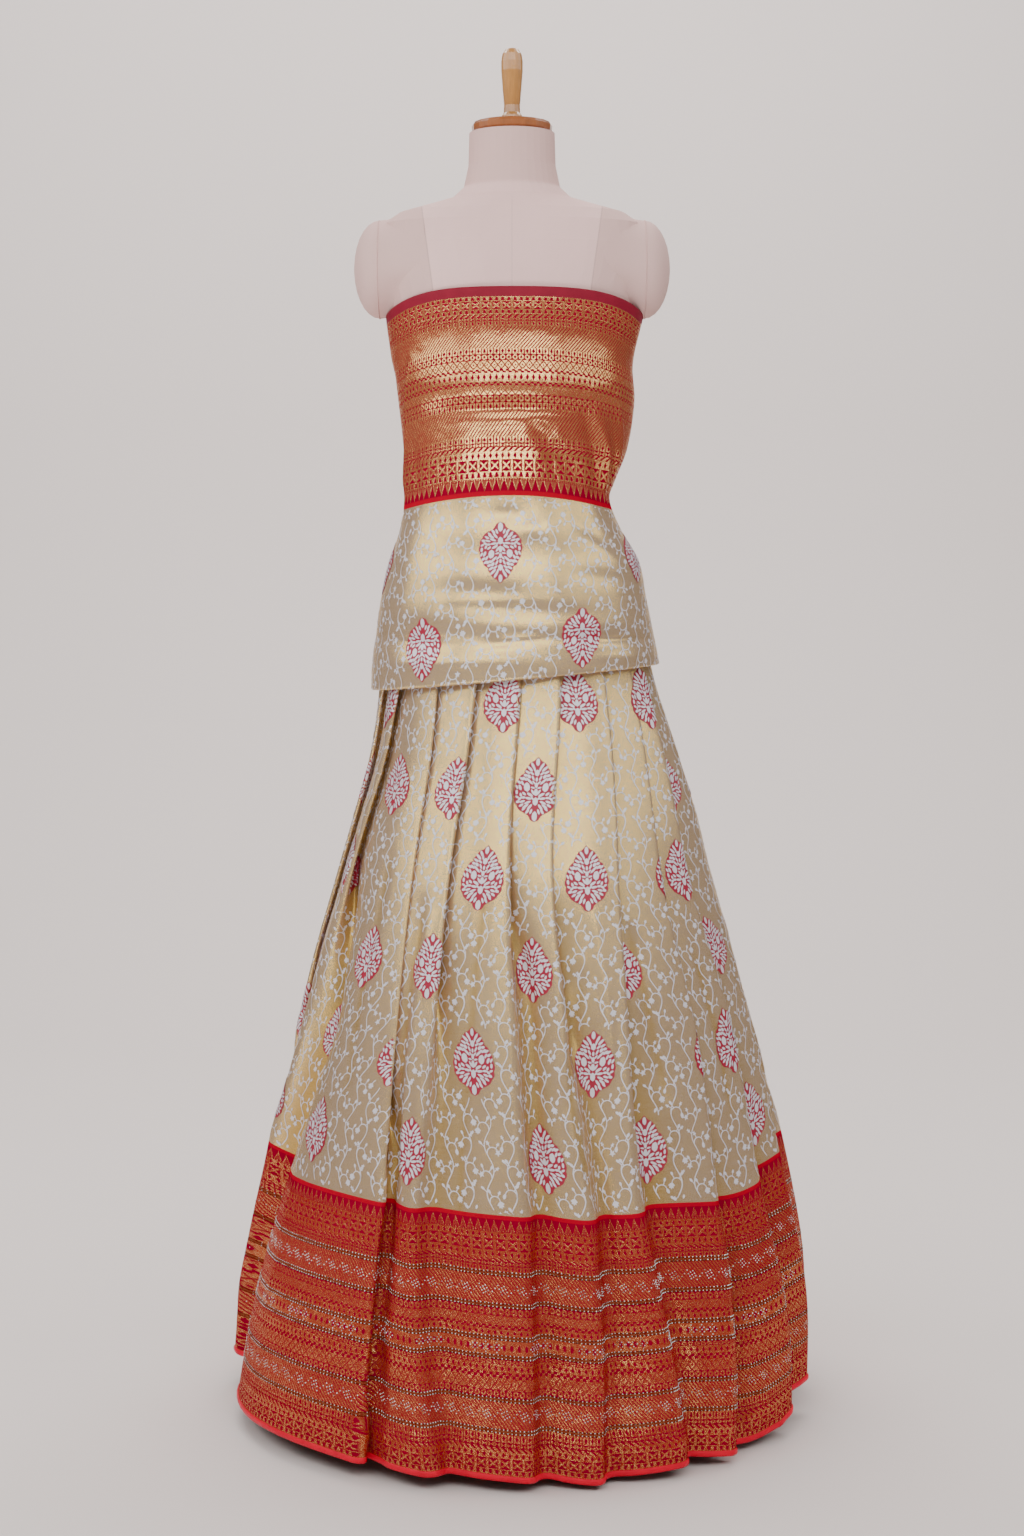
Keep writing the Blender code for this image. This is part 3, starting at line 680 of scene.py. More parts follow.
def skirt_creases():
    """The creases seen at the front, and others like them on the hidden sides."""
    rng = random.Random(7)
    rows = list(SKIRT_CREASES)
    for i in range(HIDDEN_CREASES):
        share = (i + rng.uniform(0.2, 0.8)) / HIDDEN_CREASES
        degrees = HIDDEN_CREASES_FROM + HIDDEN_CREASES_OVER * share
        high = rng.uniform(0.45, 0.66)
        low = rng.choice((0.012, 0.27, 0.30))
        sway = rng.uniform(-3.0, 3.0)
        line = ((degrees, high), (degrees + sway, (high + low) / 2), (degrees - sway / 2, low))
        rows.append((rng.uniform(0.006, 0.009), rng.choice((-0.003, -0.0022, 0.002)), line))
    return rows


def fold_line_rise(table, degrees, z, reach=WRAP_REACH):
    """How far the folds of a table move a cloth out, over a grid round a body of some reach."""
    rise = np.zeros(np.broadcast(degrees, z).shape)
    px = np.radians(degrees) * reach
    for deg0, z0, deg1, z1, half_width, height in table:
        ax, bx = math.radians(deg0) * reach, math.radians(deg1) * reach
        dx, dz = bx - ax, z1 - z0
        share = ((px - ax) * dx + (z - z0) * dz) / (dx * dx + dz * dz)
        held = np.clip(share, 0.0, 1.0)
        away = np.hypot(px - ax - held * dx, z - z0 - held * dz)
        fade = np.sin(math.pi * np.clip(share, 0.06, 0.94))
        rise += height * fade * np.exp(-((away / half_width) ** 2))
    return rise


def crease_skirt(points, out, degrees, levels):
    """The skirt's grid moved into its soft troughs and ridges, and the painted shade each point gets
    along the troughs.
    """
    heights = np.repeat(levels[:, None], degrees.shape[1], 1)
    moved = fold_line_rise(SKIRT_SWELLS, half_turns(degrees), heights, HEM_REACH)
    crease_shade = np.zeros(points.shape[:2])
    reach = np.hypot(points[..., 0], points[..., 1])
    for half_width, rise, line in skirt_creases():
        line_heights = [z for _, z in reversed(line)]
        angles = [a for a, _ in reversed(line)]
        middle = np.interp(levels, line_heights, angles)
        fade = smooth((line_heights[-1] - levels) / CREASE_FADE)
        if line_heights[0] > FREE_END_ABOVE:
            fade = fade * smooth((levels - line_heights[0]) / CREASE_FADE)
        away = np.radians(half_turns(degrees - middle[:, None])) * reach
        moved += rise * fade[:, None] * np.exp(-((away / half_width) ** 2))
        # A sunken crease also gets painted shade along its trough
        if rise < 0:
            crease_shade = np.maximum(crease_shade, fade[:, None] * np.exp(-((away / CREASE_SHADE_WIDTH) ** 2)))
    return points + out * moved[..., None], crease_shade


def slant(levels):
    """How far up the cloth from the piping each level lies."""
    reach = np.array([along(SKIRT_OUTLINE, 3, z) for z in levels])
    steps = np.hypot(np.diff(levels), np.diff(reach))
    down = np.concatenate([[0.0], np.cumsum(steps)])
    return down[-1] - down


def shoulder_threads(levels):
    """u at each pleat's shoulder at each level: as seen at the front, and even at the back."""
    pinned = list(FOLD_THREADS)
    gains = list(FOLD_GAINS)
    opens = list(range(len(pinned))) + [0] * HIDDEN_FOLDS
    first, last = FOLD_THREADS[0] + CLOTH_ROUND, FOLD_THREADS[-1]
    for i in range(1, HIDDEN_FOLDS + 1):
        share = i / (HIDDEN_FOLDS + 1)
        pinned.append(last + (first - last) * share)
        gains.append(FOLD_GAINS[0] * share)
    threads = list(zip(pinned, gains, opens))
    return np.array([[u + gain * opened(fold, z) for u, gain, fold in threads] for z in levels])


def thread_rows(points, levels):
    """u at each column of the skirt's grid, with the first column once more at the end."""
    closed = np.concatenate([points, points[:, :1]], axis=1)
    arc = np.cumsum(np.linalg.norm(np.diff(closed, axis=1), axis=2), axis=1)
    arc = np.concatenate([np.zeros((len(levels), 1)), arc], axis=1)
    folds = len(FOLDS)
    at_shoulder = shoulder_threads(levels)
    before = np.roll(at_shoulder, 1, axis=1)
    before[:, 0] -= CLOTH_ROUND
    shoulders = np.arange(folds) * FOLD_COLUMNS + SHOULDER_COLUMN
    starts = np.arange(folds) * FOLD_COLUMNS
    panels = arc[:, shoulders] - arc[:, starts]
    held = np.minimum(1.0, (at_shoulder - before - LEAST_THREAD) / panels)
    at_start = at_shoulder - panels * held
    next_start = np.concatenate([at_start[:, 1:], at_start[:, :1] + CLOTH_ROUND], axis=1)
    u = np.zeros(arc.shape)
    for i in range(folds):
        panel = slice(starts[i], shoulders[i] + 1)
        back = arc[:, shoulders[i]][:, None] - arc[:, panel]
        u[:, panel] = at_shoulder[:, i][:, None] - back * held[:, i][:, None]
        tuck = slice(shoulders[i], starts[i] + FOLD_COLUMNS + 1)
        run = arc[:, tuck] - arc[:, tuck][:, :1]
        run /= run[:, -1:]
        let_out = (next_start[:, i] - at_shoulder[:, i])[:, None]
        u[:, tuck] = at_shoulder[:, i][:, None] + run * let_out
    return u


class Cloth:
    """A grid of cloth: points from row to row and column to column, with their u and v."""

    def __init__(self, points, u, v, closed, turn=1.0):
        self.points = points
        self.out = grid_normals(points, closed)
        self.u = u
        self.v = v
        self.closed = closed
        self.turn = turn

    def place(self, u, v, lift):
        """Points at u and v on the cloth, lifted off it."""
        rising = self.v[-1] > self.v[0]
        order = np.arange(len(self.v)) if rising else np.arange(len(self.v))[::-1]
        level = np.interp(v, self.v[order], order.astype(float))
        row = np.clip(np.floor(level).astype(int), 0, len(self.v) - 2)
        share = (level - row)[:, None]
        found = np.zeros((len(u), 3))
        for r in np.unique(row):
            here = row == r
            found[here] = (1.0 - share[here]) * self._on_row(r, u[here], lift[here])
            found[here] += share[here] * self._on_row(r + 1, u[here], lift[here])
        return found

    def _on_row(self, r, u, lift):
        """Points at u on one row."""
        marks = self.u[r]
        u = u * self.turn
        where, out = self.points[r], self.out[r]
        if self.closed:
            u = marks[0] + (u - marks[0]) % CLOTH_ROUND
            where = np.concatenate([where, where[:1]])
            out = np.concatenate([out, out[:1]])
        spot = np.stack([np.interp(u, marks, where[:, k]) for k in range(3)], axis=1)
        up = np.stack([np.interp(u, marks, out[:, k]) for k in range(3)], axis=1)
        return spot + up * lift[:, None]


def skirt_cloth(levels):
    """The skirt's cloth between the first and last of some levels."""
    rings = smooth_rings(np.array([skirt_ring(z) for z in levels]))
    points, degrees = rings[..., :3], rings[..., 3]
    out = grid_normals(points, True)
    points, crease_shade = crease_skirt(points, out, degrees, np.array(levels))
    return points, thread_rows(points, levels), rings[..., 4], crease_shade


def build_mesh(name, verts, faces, materials, face_kind=None, uv=None):
    """An object from arrays of points and equal faces, with its materials and cloth map."""
    mesh = bpy.data.meshes.new(name)
    count, sides = faces.shape
    mesh.vertices.add(len(verts))
    mesh.vertices.foreach_set("co", np.asarray(verts, np.float32).ravel())
    mesh.loops.add(count * sides)
    mesh.loops.foreach_set("vertex_index", np.asarray(faces, np.int32).ravel())
    mesh.polygons.add(count)
    mesh.polygons.foreach_set("loop_start", np.arange(count, dtype=np.int32) * sides)
    for material in materials:
        mesh.materials.append(material)
    if face_kind is not None:
        mesh.polygons.foreach_set("material_index", np.asarray(face_kind, np.int32))
    if uv is not None:
        layer = mesh.uv_layers.new(name="cloth")
        layer.uv.foreach_set("vector", np.asarray(uv, np.float32).ravel())
    mesh.update(calc_edges=True)
    mesh.validate()
    mesh.shade_smooth()
    made = bpy.data.objects.new(name, mesh)
    bpy.context.scene.collection.objects.link(made)
    return made


def grid_faces(high, wide, closed):
    """Faces of a grid, wound to face outwards."""
    columns = wide if closed else wide - 1
    r, c = np.meshgrid(np.arange(high - 1), np.arange(columns), indexing="ij")
    after = (c + 1) % wide
    corners = [r * wide + c, (r + 1) * wide + c, (r + 1) * wide + after, r * wide + after]
    return np.stack(corners, axis=-1).reshape(-1, 4)


def grid_uv(u, v_high, v_low, repeats=1.0):
    """The cloth map of a grid's faces, from u at its points, v at its rows' ends and a scale of u."""
    left, right = u[:, :-1], u[:, 1:]
    high = np.repeat(v_high[:, None], left.shape[1], axis=1)
    low = np.repeat(v_low[:, None], left.shape[1], axis=1)
    sides = ((left[:-1], high), (left[1:], low), (right[1:], low), (right[:-1], high))
    corners = [np.stack([across * repeats, up], axis=-1) for across, up in sides]
    return np.stack(corners, axis=2).reshape(-1, 2)


def grid_mesh(name, points, closed, materials, **maps):
    """An object from a grid of points, with its materials and cloth map."""
    faces = grid_faces(*points.shape[:2], closed)
    return build_mesh(name, points.reshape(-1, 3), faces, materials, **maps)


def point_value(obj, name, values):
    """A number for each point of a mesh, which its material reads by name."""
    layer = obj.data.attributes.new(name, "FLOAT", "POINT")
    layer.data.foreach_set("value", np.asarray(values, np.float32).ravel())


class Nodes:
    """A material's nodes, with short calls to add and join them."""

    def __init__(self, name):
        self.made = bpy.data.materials.new(name)
        self.made.use_nodes = True
        self.tree = self.made.node_tree
        self.shader = self.tree.nodes["Principled BSDF"]

    def add(self, kind, **settings):
        """A node with some of its settings."""
        node = self.tree.nodes.new(kind)
        for key, value in settings.items():
            setattr(node, key, value)
        return node

    def join(self, value, socket):
        """Sets a socket to a number or colour, or links another node's output to it."""
        if isinstance(value, bpy.types.NodeSocket):
            self.tree.links.new(value, socket)
        elif socket.type == "RGBA" and len(value) == 3:
            socket.default_value = (*value, 1.0)
        else:
            socket.default_value = value

    def math(self, operation, first, second=0.0, third=0.0):
        """One sum."""
        node = self.add("ShaderNodeMath", operation=operation)
        for socket, value in zip(node.inputs, (first, second, third)):
            self.join(value, socket)
        return node.outputs[0]

    def times(self, first, second):
        """One number times another."""
        return self.math("MULTIPLY", first, second)

    def plus(self, first, second):
        """The sum of two numbers."""
        return self.math("ADD", first, second)

    def minus(self, first, second):
        """The first number less the second."""
        return self.math("SUBTRACT", first, second)

    def rest(self, value):
        """What a number lacks of 1."""
        return self.math("SUBTRACT", 1.0, value)

    def scaled(self, value, factor, offset):
        """A number times a factor, plus an offset."""
        return self.math("MULTIPLY_ADD", value, factor, offset)

    def larger(self, first, second):
        """The larger of two numbers."""
        return self.math("MAXIMUM", first, second)

    def size(self, value):
        """A number without its sign."""
        return self.math("ABSOLUTE", value)

    def less(self, value, limit, softness=0.06):
        """1 where a value is under a limit, 0 over it, with a soft edge."""
        node = self.add("ShaderNodeMapRange", interpolation_type="SMOOTHSTEP")
        self.join(value, node.inputs[0])
        self.join(limit - softness, node.inputs[1])
        self.join(limit + softness, node.inputs[2])
        node.inputs[3].default_value = 1.0
        node.inputs[4].default_value = 0.0
        return node.outputs[0]

    def mix(self, share, first, second):
        """A colour between two others."""
        node = self.add("ShaderNodeMix", data_type="RGBA")
        self.join(share, node.inputs[0])
        self.join(first, node.inputs[6])
        self.join(second, node.inputs[7])
        return node.outputs[2]

    def cloth_map(self):
        """u and v of the cloth, as two numbers."""
        both = self.add("ShaderNodeUVMap", uv_map="cloth")
        apart = self.add("ShaderNodeSeparateXYZ")
        self.tree.links.new(both.outputs[0], apart.inputs[0])
        return apart.outputs[0], apart.outputs[1]

    def noise(self, scale, detail=2.0, where=None, stretch=None):
        """A soft random value from 0 to 1."""
        node = self.add("ShaderNodeTexNoise")
        node.inputs["Scale"].default_value = scale
        node.inputs["Detail"].default_value = detail
        if where is None:
            where = self.add("ShaderNodeTexCoord").outputs["Object"]
        if stretch is not None:
            mapped = self.add("ShaderNodeMapping")
            mapped.inputs["Scale"].default_value = stretch
            self.tree.links.new(where, mapped.inputs[0])
            where = mapped.outputs[0]
        self.tree.links.new(where, node.inputs["Vector"])
        return node.outputs[0]

    def bump(self, height, strength, distance):
        """Relief from a height."""
        node = self.add("ShaderNodeBump")
        node.inputs["Strength"].default_value = strength
        node.inputs["Distance"].default_value = distance
        self.tree.links.new(height, node.inputs["Height"])
        self.tree.links.new(node.outputs[0], self.shader.inputs["Normal"])

    def finish(self, colour, roughness, metallic=0.0, **others):
        """Joins the shader's main sockets and sets its other ones."""
        self.join(colour, self.shader.inputs["Base Color"])
        self.join(roughness, self.shader.inputs["Roughness"])
        self.join(metallic, self.shader.inputs["Metallic"])
        for key, value in others.items():
            self.shader.inputs[key.replace("_", " ")].default_value = value
        return self.made


# The field's weave, and how metallic gold thread is
WARP_PITCH = 0.0011
WEFT_PITCH = 0.0008
GOLD_METAL = 0.97


def darker(colour, share):
    """A share of a colour."""
    return tuple(share * c for c in colour)


def gold_finish(n, colour, cloud, weft_shows):
    """Joins a cloth's colour, with metal where its gold weft shows."""
    roughness = n.scaled(cloud, 0.10, 0.19)
    return n.finish(colour, roughness, n.times(weft_shows, GOLD_METAL), Specular_IOR_Level=0.0)


def brocade():
    """The field's ground: gold weft over a taupe warp, with painted shade in a darker brownish gold
    down in the folds.
    """
    n = Nodes("brocade_ground")
    u, v = n.cloth_map()
    warp = n.math("SINE", n.times(u, 2 * math.pi / WARP_PITCH))
    weft = n.math("SINE", n.times(v, 2 * math.pi / WEFT_PITCH))
    weave = n.times(warp, weft)
    cloud = n.noise(26.0, 3.0)
    threads = n.noise(90.0, 2.0, stretch=(1.0, 1.0, 9.0))
    over = n.scaled(n.minus(threads, 0.5), 0.4, weave)
    warp_shows = n.less(over, 0.06, 0.12)
    weft_shows = n.rest(warp_shows)
    ground = n.mix(warp_shows, COLOURS["gold"], COLOURS["taupe"])
    # Painted shade: where the valley attribute is set, deep in the folds, along the creases and under
    # the hips' roll, the ground turns a darker brownish gold
    valley = n.add("ShaderNodeAttribute", attribute_name="valley").outputs["Fac"]
    fold_shade = n.times(valley, n.scaled(threads, 0.8, 0.4))
    ground = n.mix(fold_shade, ground, COLOURS["fold_shade_ochre"])
    n.bump(n.scaled(weave, 0.10, cloud), 0.16, 0.0010)
    return gold_finish(n, ground, cloud, weft_shows)


def metal_thread(name, colour, roughness, metallic):
    """The pattern's woven-in threads."""
    n = Nodes(name)
    fine = n.noise(700.0, 1.0)
    shade = n.times(fine, 0.5)
    n.bump(fine, 0.3, 0.0003)
    return n.finish(n.mix(shade, colour, darker(colour, 0.62)), roughness, metallic)


def band_mask(n, kind, t, s):
    """Where one woven row is gold, t across a repeat and s up it from -0.5 to 0.5; redline has none."""
    at, up = n.size(t), n.size(s)
    far = n.math("SQRT", n.plus(n.math("POWER", at, 2.0), n.math("POWER", up, 2.0)))
    both = n.plus(at, up)
    if kind == "drops":
        wide = n.scaled(s, 0.22, 0.24)
        inside = n.less(n.math("DIVIDE", at, wide), 1.0, 0.25)
        return n.rest(n.times(inside, n.less(up, 0.36)))
    if kind == "blossoms":
        cross = n.less(n.size(n.minus(at, up)), 0.11)
        cross = n.times(cross, n.less(far, 0.46))
        heart = n.less(far, 0.15)
        edge = n.less(n.size(n.minus(at, 0.5)), 0.10)
        return n.larger(n.larger(cross, heart), edge)
    if kind == "diamonds":
        oval = n.less(n.plus(n.times(at, 1.5), up), 0.40)
        return n.rest(oval)
    if kind == "rope":
        slope = n.math("FRACT", n.plus(n.plus(t, 0.5), n.times(s, 0.7)))
        return n.less(slope, 0.55, 0.10)
    if kind == "bows":
        return n.times(n.less(n.minus(up, at), 0.0), n.less(at, 0.42))
    if kind == "bars":
        oval = n.less(n.plus(n.times(at, 1.9), up), 0.44)
        stroke = n.less(n.size(n.minus(at, 0.5)), 0.08)
        return n.rest(n.larger(oval, stroke))
    if kind == "rings":
        return n.less(n.size(n.minus(far, 0.30)), 0.12)
    if kind == "lattice":
        lines = n.less(n.size(n.minus(both, 0.5)), 0.07)
        return n.rest(n.larger(lines, n.less(both, 0.10)))
    if kind == "check":
        product = n.times(t, s)
        return n.less(n.times(product, 40.0), -0.35, 0.5)
    if kind == "dots":
        return n.less(far, 0.30)
    if kind == "temple":
        side = n.minus(at, n.scaled(s, -0.46, 0.20))
        spike = n.less(side, 0.0, 0.05)
        inner = n.less(n.plus(side, 0.13), 0.0, 0.04)
        return n.minus(spike, n.times(inner, 0.8))
    if kind == "twill":
        slope = n.math("FRACT", n.plus(t, n.times(s, 5.5)))
        return n.less(slope, 0.62, 0.12)
    if kind == "plain":
        return n.rest(n.less(far, 0.24))
    if kind == "line":
        return n.times(n.less(up, 0.30), 0.30)
    return n.times(up, 0.0)


def band_material(place, kind, weft):
    """One kind of woven row, gold figures on red, whose gold shows by the share weft."""
    n = Nodes(place + "_" + kind)
    u, v = n.cloth_map()
    t = n.minus(n.math("FRACT", u), 0.5)
    s = n.minus(v, 0.5)
    gold = band_mask(n, kind, t, s)
    cloud = n.noise(30.0, 3.0)
    fine = n.noise(2600.0, 0.0)
    red = n.mix(cloud, COLOURS["border_red"], COLOURS["border_dark"])
    if kind == "redline":
        red = n.mix(n.times(cloud, 0.5), COLOURS["line_red"], COLOURS["border_red"])
    if kind == "line":
        red = COLOURS["border_brown"]
    weft_shows = n.times(gold, n.less(fine, weft, 0.03))
    ground = n.mix(gold, red, COLOURS["under_gold"])
    colour = n.mix(weft_shows, ground, COLOURS["copper"])
    n.bump(n.scaled(n.noise(60.0, 2.0), 3.0, gold), 0.5, 0.0007)
    return gold_finish(n, colour, cloud, weft_shows)


def satin(name, colour, dark_share, roughness):
    """A plain smooth binding with fine cross ribs."""
    n = Nodes(name)
    cloud = n.noise(60.0, 2.0)
    ribs = n.noise(500.0, 1.0, stretch=(1.0, 1.0, 0.3))
    dark = darker(colour, dark_share)
    n.bump(n.scaled(ribs, 0.6, n.times(cloud, 0.6)), 0.4, 0.0006)
    return n.finish(n.mix(cloud, colour, dark), roughness, 0.0, Specular_IOR_Level=0.12)


def jersey():
    """The form's brushed cover: a pale middle panel and darker side panels, with their seams, and
    painted shade that gives the neck the side panels' colour.
    """
    n = Nodes("form_cover")
    nap = n.noise(900.0, 2.0)
    cloud = n.noise(14.0, 3.0)
    place = n.add("ShaderNodeSeparateXYZ")
    n.tree.links.new(n.add("ShaderNodeTexCoord").outputs["Object"], place.inputs[0])
    across = n.size(place.outputs[0])
    lean = n.scaled(place.outputs[2], PANEL_SEAM_LEAN, PANEL_SEAM_START)
    past = n.minus(across, lean)
    low = n.less(place.outputs[2], PANEL_TOP, 0.012)
    side = n.times(n.rest(n.less(past, 0.0, PANEL_SOFTNESS)), low)
    # Painted shade: above a height the neck takes the side panels' darker colour
    neck = n.rest(n.less(place.outputs[2], NECK_SHADE_FROM, 0.004))
    side = n.larger(side, neck)
    seam = n.times(n.less(n.size(past), SEAM_HALF_WIDTH, SEAM_SOFTNESS), low)
    middle = n.times(n.less(across, MIDDLE_SEAM_HALF_WIDTH, SEAM_SOFTNESS), n.times(low, 0.5))
    seam = n.larger(seam, middle)
    cover = n.mix(side, COLOURS["jersey"], COLOURS["side_panel_and_neck_shade"])
    shade = n.scaled(nap, 0.20, n.times(cloud, 0.25))
    shade = n.plus(shade, n.times(seam, 0.5))
    dark = darker(COLOURS["side_panel_and_neck_shade"], 0.72)
    n.bump(n.minus(nap, n.times(seam, 2.0)), 0.25, 0.0005)
    return n.finish(n.mix(shade, cover, dark), 0.92, 0.0, Specular_IOR_Level=0.2)


def varnished_wood(name, colour):
    """Turned wood with its grain along the handle, under varnish."""
    n = Nodes(name)
    grain = n.noise(60.0, 4.0, stretch=(3.0, 3.0, 0.35))
    pores = n.noise(300.0, 2.0, stretch=(4.0, 4.0, 0.25))
    share = n.scaled(pores, 0.35, n.times(grain, 0.75))
    n.bump(pores, 0.15, 0.0003)
    dark = darker(colour, 0.42)
    return n.finish(n.mix(share, colour, dark), 0.30, 0.0, Coat_Weight=0.7, Coat_Roughness=0.10)


def painted_metal():
    """The stand's powder-coated steel."""
    n = Nodes("stand_paint")
    fine = n.noise(400.0, 2.0)
    dark = darker(COLOURS["metal"], 0.85)
    n.bump(fine, 0.2, 0.0003)
    return n.finish(n.mix(fine, COLOURS["metal"], dark), 0.45, 0.1)


def stone_glass():
    """Small cut stones with a foil back, a share of them painted dark as a painted reflection."""
    n = Nodes("cut_stone")
    # Painted reflection: a share of the stones, picked by fine noise, takes a dark colour for the dim
    # room their facets mirror
    painted_dark_reflection = n.less(n.noise(900.0, 0.0), 0.44, 0.04)
    colour = n.mix(painted_dark_reflection, COLOURS["stone"], COLOURS["stone_shade"])
    return n.finish(colour, 0.22, 0.4)


def backdrop_paper():
    """Plain studio paper."""
    n = Nodes("studio_paper")
    cloud = n.noise(0.8, 2.0)
    dark = darker(COLOURS["backdrop"], 0.96)
    return n.finish(n.mix(cloud, COLOURS["backdrop"], dark), 0.95)


def blossom(points, lobes, reach, depth):
    """A lobed flower as a ring of points."""
    ring = []
    for i in range(points):
        a = 2 * math.pi * i / points
        r = reach * (1.0 - depth * (0.5 - 0.5 * math.cos(lobes * a)))
        ring.append((r * math.cos(a), r * math.sin(a)))
    return ring


# What grows on the vines, in mm, from its foot along +X
GROWTHS = {
    "bloom": ((0.0, 0.0), (1.6, -2.2), (4.2, -4.3), (5.0, -2.5), (7.4, -2.6), (6.6, -0.8),
              (8.6, 0.4), (6.4, 1.2), (6.8, 3.2), (4.6, 2.4), (3.4, 4.2), (1.2, 2.0)),
    "bud": ((0.0, 0.0), (1.6, -1.3), (4.0, -2.1), (6.2, -1.3), (7.4, 0.3), (5.8, 1.7), (3.4, 1.9),
            (1.3, 1.1)),
    "leaf": ((0.0, 0.0), (1.8, -2.9), (3.4, -1.2), (5.6, -2.0), (5.2, 0.0), (5.8, 1.8), (3.2, 1.1),
             (1.6, 2.9)),
    "star": blossom(10, 5, 4.2, 0.55),
}


# Half of a petal: how far along it, and how wide
PETAL_HALF = ((0.0, 0.1), (0.2, 0.8), (0.5, 1.0), (0.82, 0.75), (1.0, 0.1))


def petal(x, y, degrees, length, width):
    """A pointed oval as a ring of points."""
    a = math.radians(degrees)
    ring = [(share - 0.5, wide / 2) for share, wide in PETAL_HALF]
    ring += [(lie, -wide) for lie, wide in ring[-2:0:-1]]
    made = []
    for lie, wide in ring:
        dx, dy = lie * length * PETAL_SIZE, -wide * width
        along_x = dx * math.cos(a) - dy * math.sin(a)
        along_y = dx * math.sin(a) + dy * math.cos(a)
        made.append((x + along_x, y + along_y))
    return made


class Pattern:
    """Flat figures in mm, as points, triangles, the material of each and how far up it lies."""

    def __init__(self):
        self.points = []
        self.faces = []
        self.kinds = []
        self.lifts = []

    def ring(self, points, kind, lift):
        """A filled shape from a ring of points that its middle sees whole."""
        start = len(self.points)
        middle = np.mean(points, axis=0)
        self.points += [tuple(middle), *points]
        self.lifts += [lift] * (len(points) + 1)
        count = len(points)
        for i in range(count):
            self.faces.append((start, start + 1 + i, start + 1 + (i + 1) % count))
            self.kinds.append(kind)

    def sheet(self, lines, kind, lift):
        """A filled shape from lines of points across it, from top to bottom."""
        start = len(self.points)
        wide = len(lines[0])
        for line in lines:
            self.points += line
            self.lifts += [lift] * wide
        for i in range(len(lines) - 1):
            for k in range(wide - 1):
                a = start + i * wide + k
                self.faces += [(a, a + wide, a + wide + 1), (a, a + wide + 1, a + 1)]
                self.kinds += [kind, kind]

    def ribbon(self, line, width, kind, lift):
        """A line of some width that thins to its end."""
        start = len(self.points)
        line = np.array(line)
        way = unit(np.gradient(line, axis=0))
        for i, (spot, (wx, wy)) in enumerate(zip(line, way)):
            half = width / 2 * (1.0 - THREAD_THINS * i / len(line))
            self.points.append((spot[0] + wy * half, spot[1] - wx * half))
            self.points.append((spot[0] - wy * half, spot[1] + wx * half))
            self.lifts += [lift, lift]
        for i in range(len(line) - 1):
            a = start + 2 * i
            self.faces += [(a, a + 2, a + 3), (a, a + 3, a + 1)]
            self.kinds += [kind, kind]

    def arrays(self):
        """The pattern as arrays in metres."""
        faces = np.array(self.faces)
        points = np.array(self.points) / 1000.0
        a, b, c = (points[faces[:, k]] for k in range(3))
        turn = (b - a)[:, 0] * (c - a)[:, 1] - (b - a)[:, 1] * (c - a)[:, 0]
        faces[turn < 0] = faces[turn < 0][:, ::-1]
        return points, faces, np.array(self.kinds), np.array(self.lifts)


def grown(kind, spot, way, size):
    """A flower, bud or leaf at a spot, pointing along a way."""
    angle = math.atan2(way[1], way[0])
    c, s = math.cos(angle) * size, math.sin(angle) * size
    return [(spot[0] + x * c - y * s, spot[1] + x * s + y * c) for x, y in GROWTHS[kind]]


def clear_of_medallion(point):
    """Whether a point of the repeat lies outside its medallion."""
    return (point[0] / MEDALLION_ROOM[0]) ** 2 + (point[1] / MEDALLION_ROOM[1]) ** 2 > 1.0


def draw_line(made, line, width):
    """A thread along a line, broken where the medallion lies."""
    run = []
    for spot in [*line, None]:
        if spot is not None and clear_of_medallion(spot):
            run.append(spot)
            continue
        if len(run) > 1:
            made.ribbon(run, width, SILVER, STEM_LIFT)
        run = []


def draw_growth(made, kind, spot, way, size):
    """A flower, bud or leaf on the end of a thread, if it is clear of the medallion."""
    if clear_of_medallion(spot + GROWTH_ROOM * way) and clear_of_medallion(spot):
        made.ring(grown(kind, spot - GROWTH_SINK * way, way, size), SILVER, GROWTH_LIFT)


def draw_sprig(made, rng, foot, out, size):
    """A short thread from a foot, with a leaf or bud on its end."""
    end = foot + SPRIG_LENGTH * out
    draw_line(made, [foot, end], SPRIG_WIDTH)
    draw_growth(made, rng.choice(("leaf", "bud")), end, out, size)


def draw_scroll(made, rng, start, side):
    """A thread that leaves a stem upwards and winds round to a flower, with two sprigs on its back."""
    reach = SCROLL_REACH * rng.uniform(0.88, 1.06)
    turn = math.radians(SCROLL_TURN_DEG * rng.uniform(0.92, 1.08))
    middle = start + np.array((side * reach, SCROLL_RISE))
    line = []
    for k in range(SCROLL_STEPS + 1):
        a = turn * k / SCROLL_STEPS
        r = reach * (1.0 - SCROLL_CLOSES * k / SCROLL_STEPS)
        line.append(middle + r * np.array((-side * math.cos(a), math.sin(a))))
    line[0] = start
    draw_line(made, line, STEM_WIDTH)
    way = unit(line[-1] - line[-2])
    flower = rng.choice(("bloom", "bud", "bloom", "star"))
    draw_growth(made, flower, line[-1], way, rng.uniform(0.85, 1.0))
    for foot, size in ((line[3], 0.8), (line[6], 0.7)):
        draw_sprig(made, rng, foot, unit(foot - middle), size)


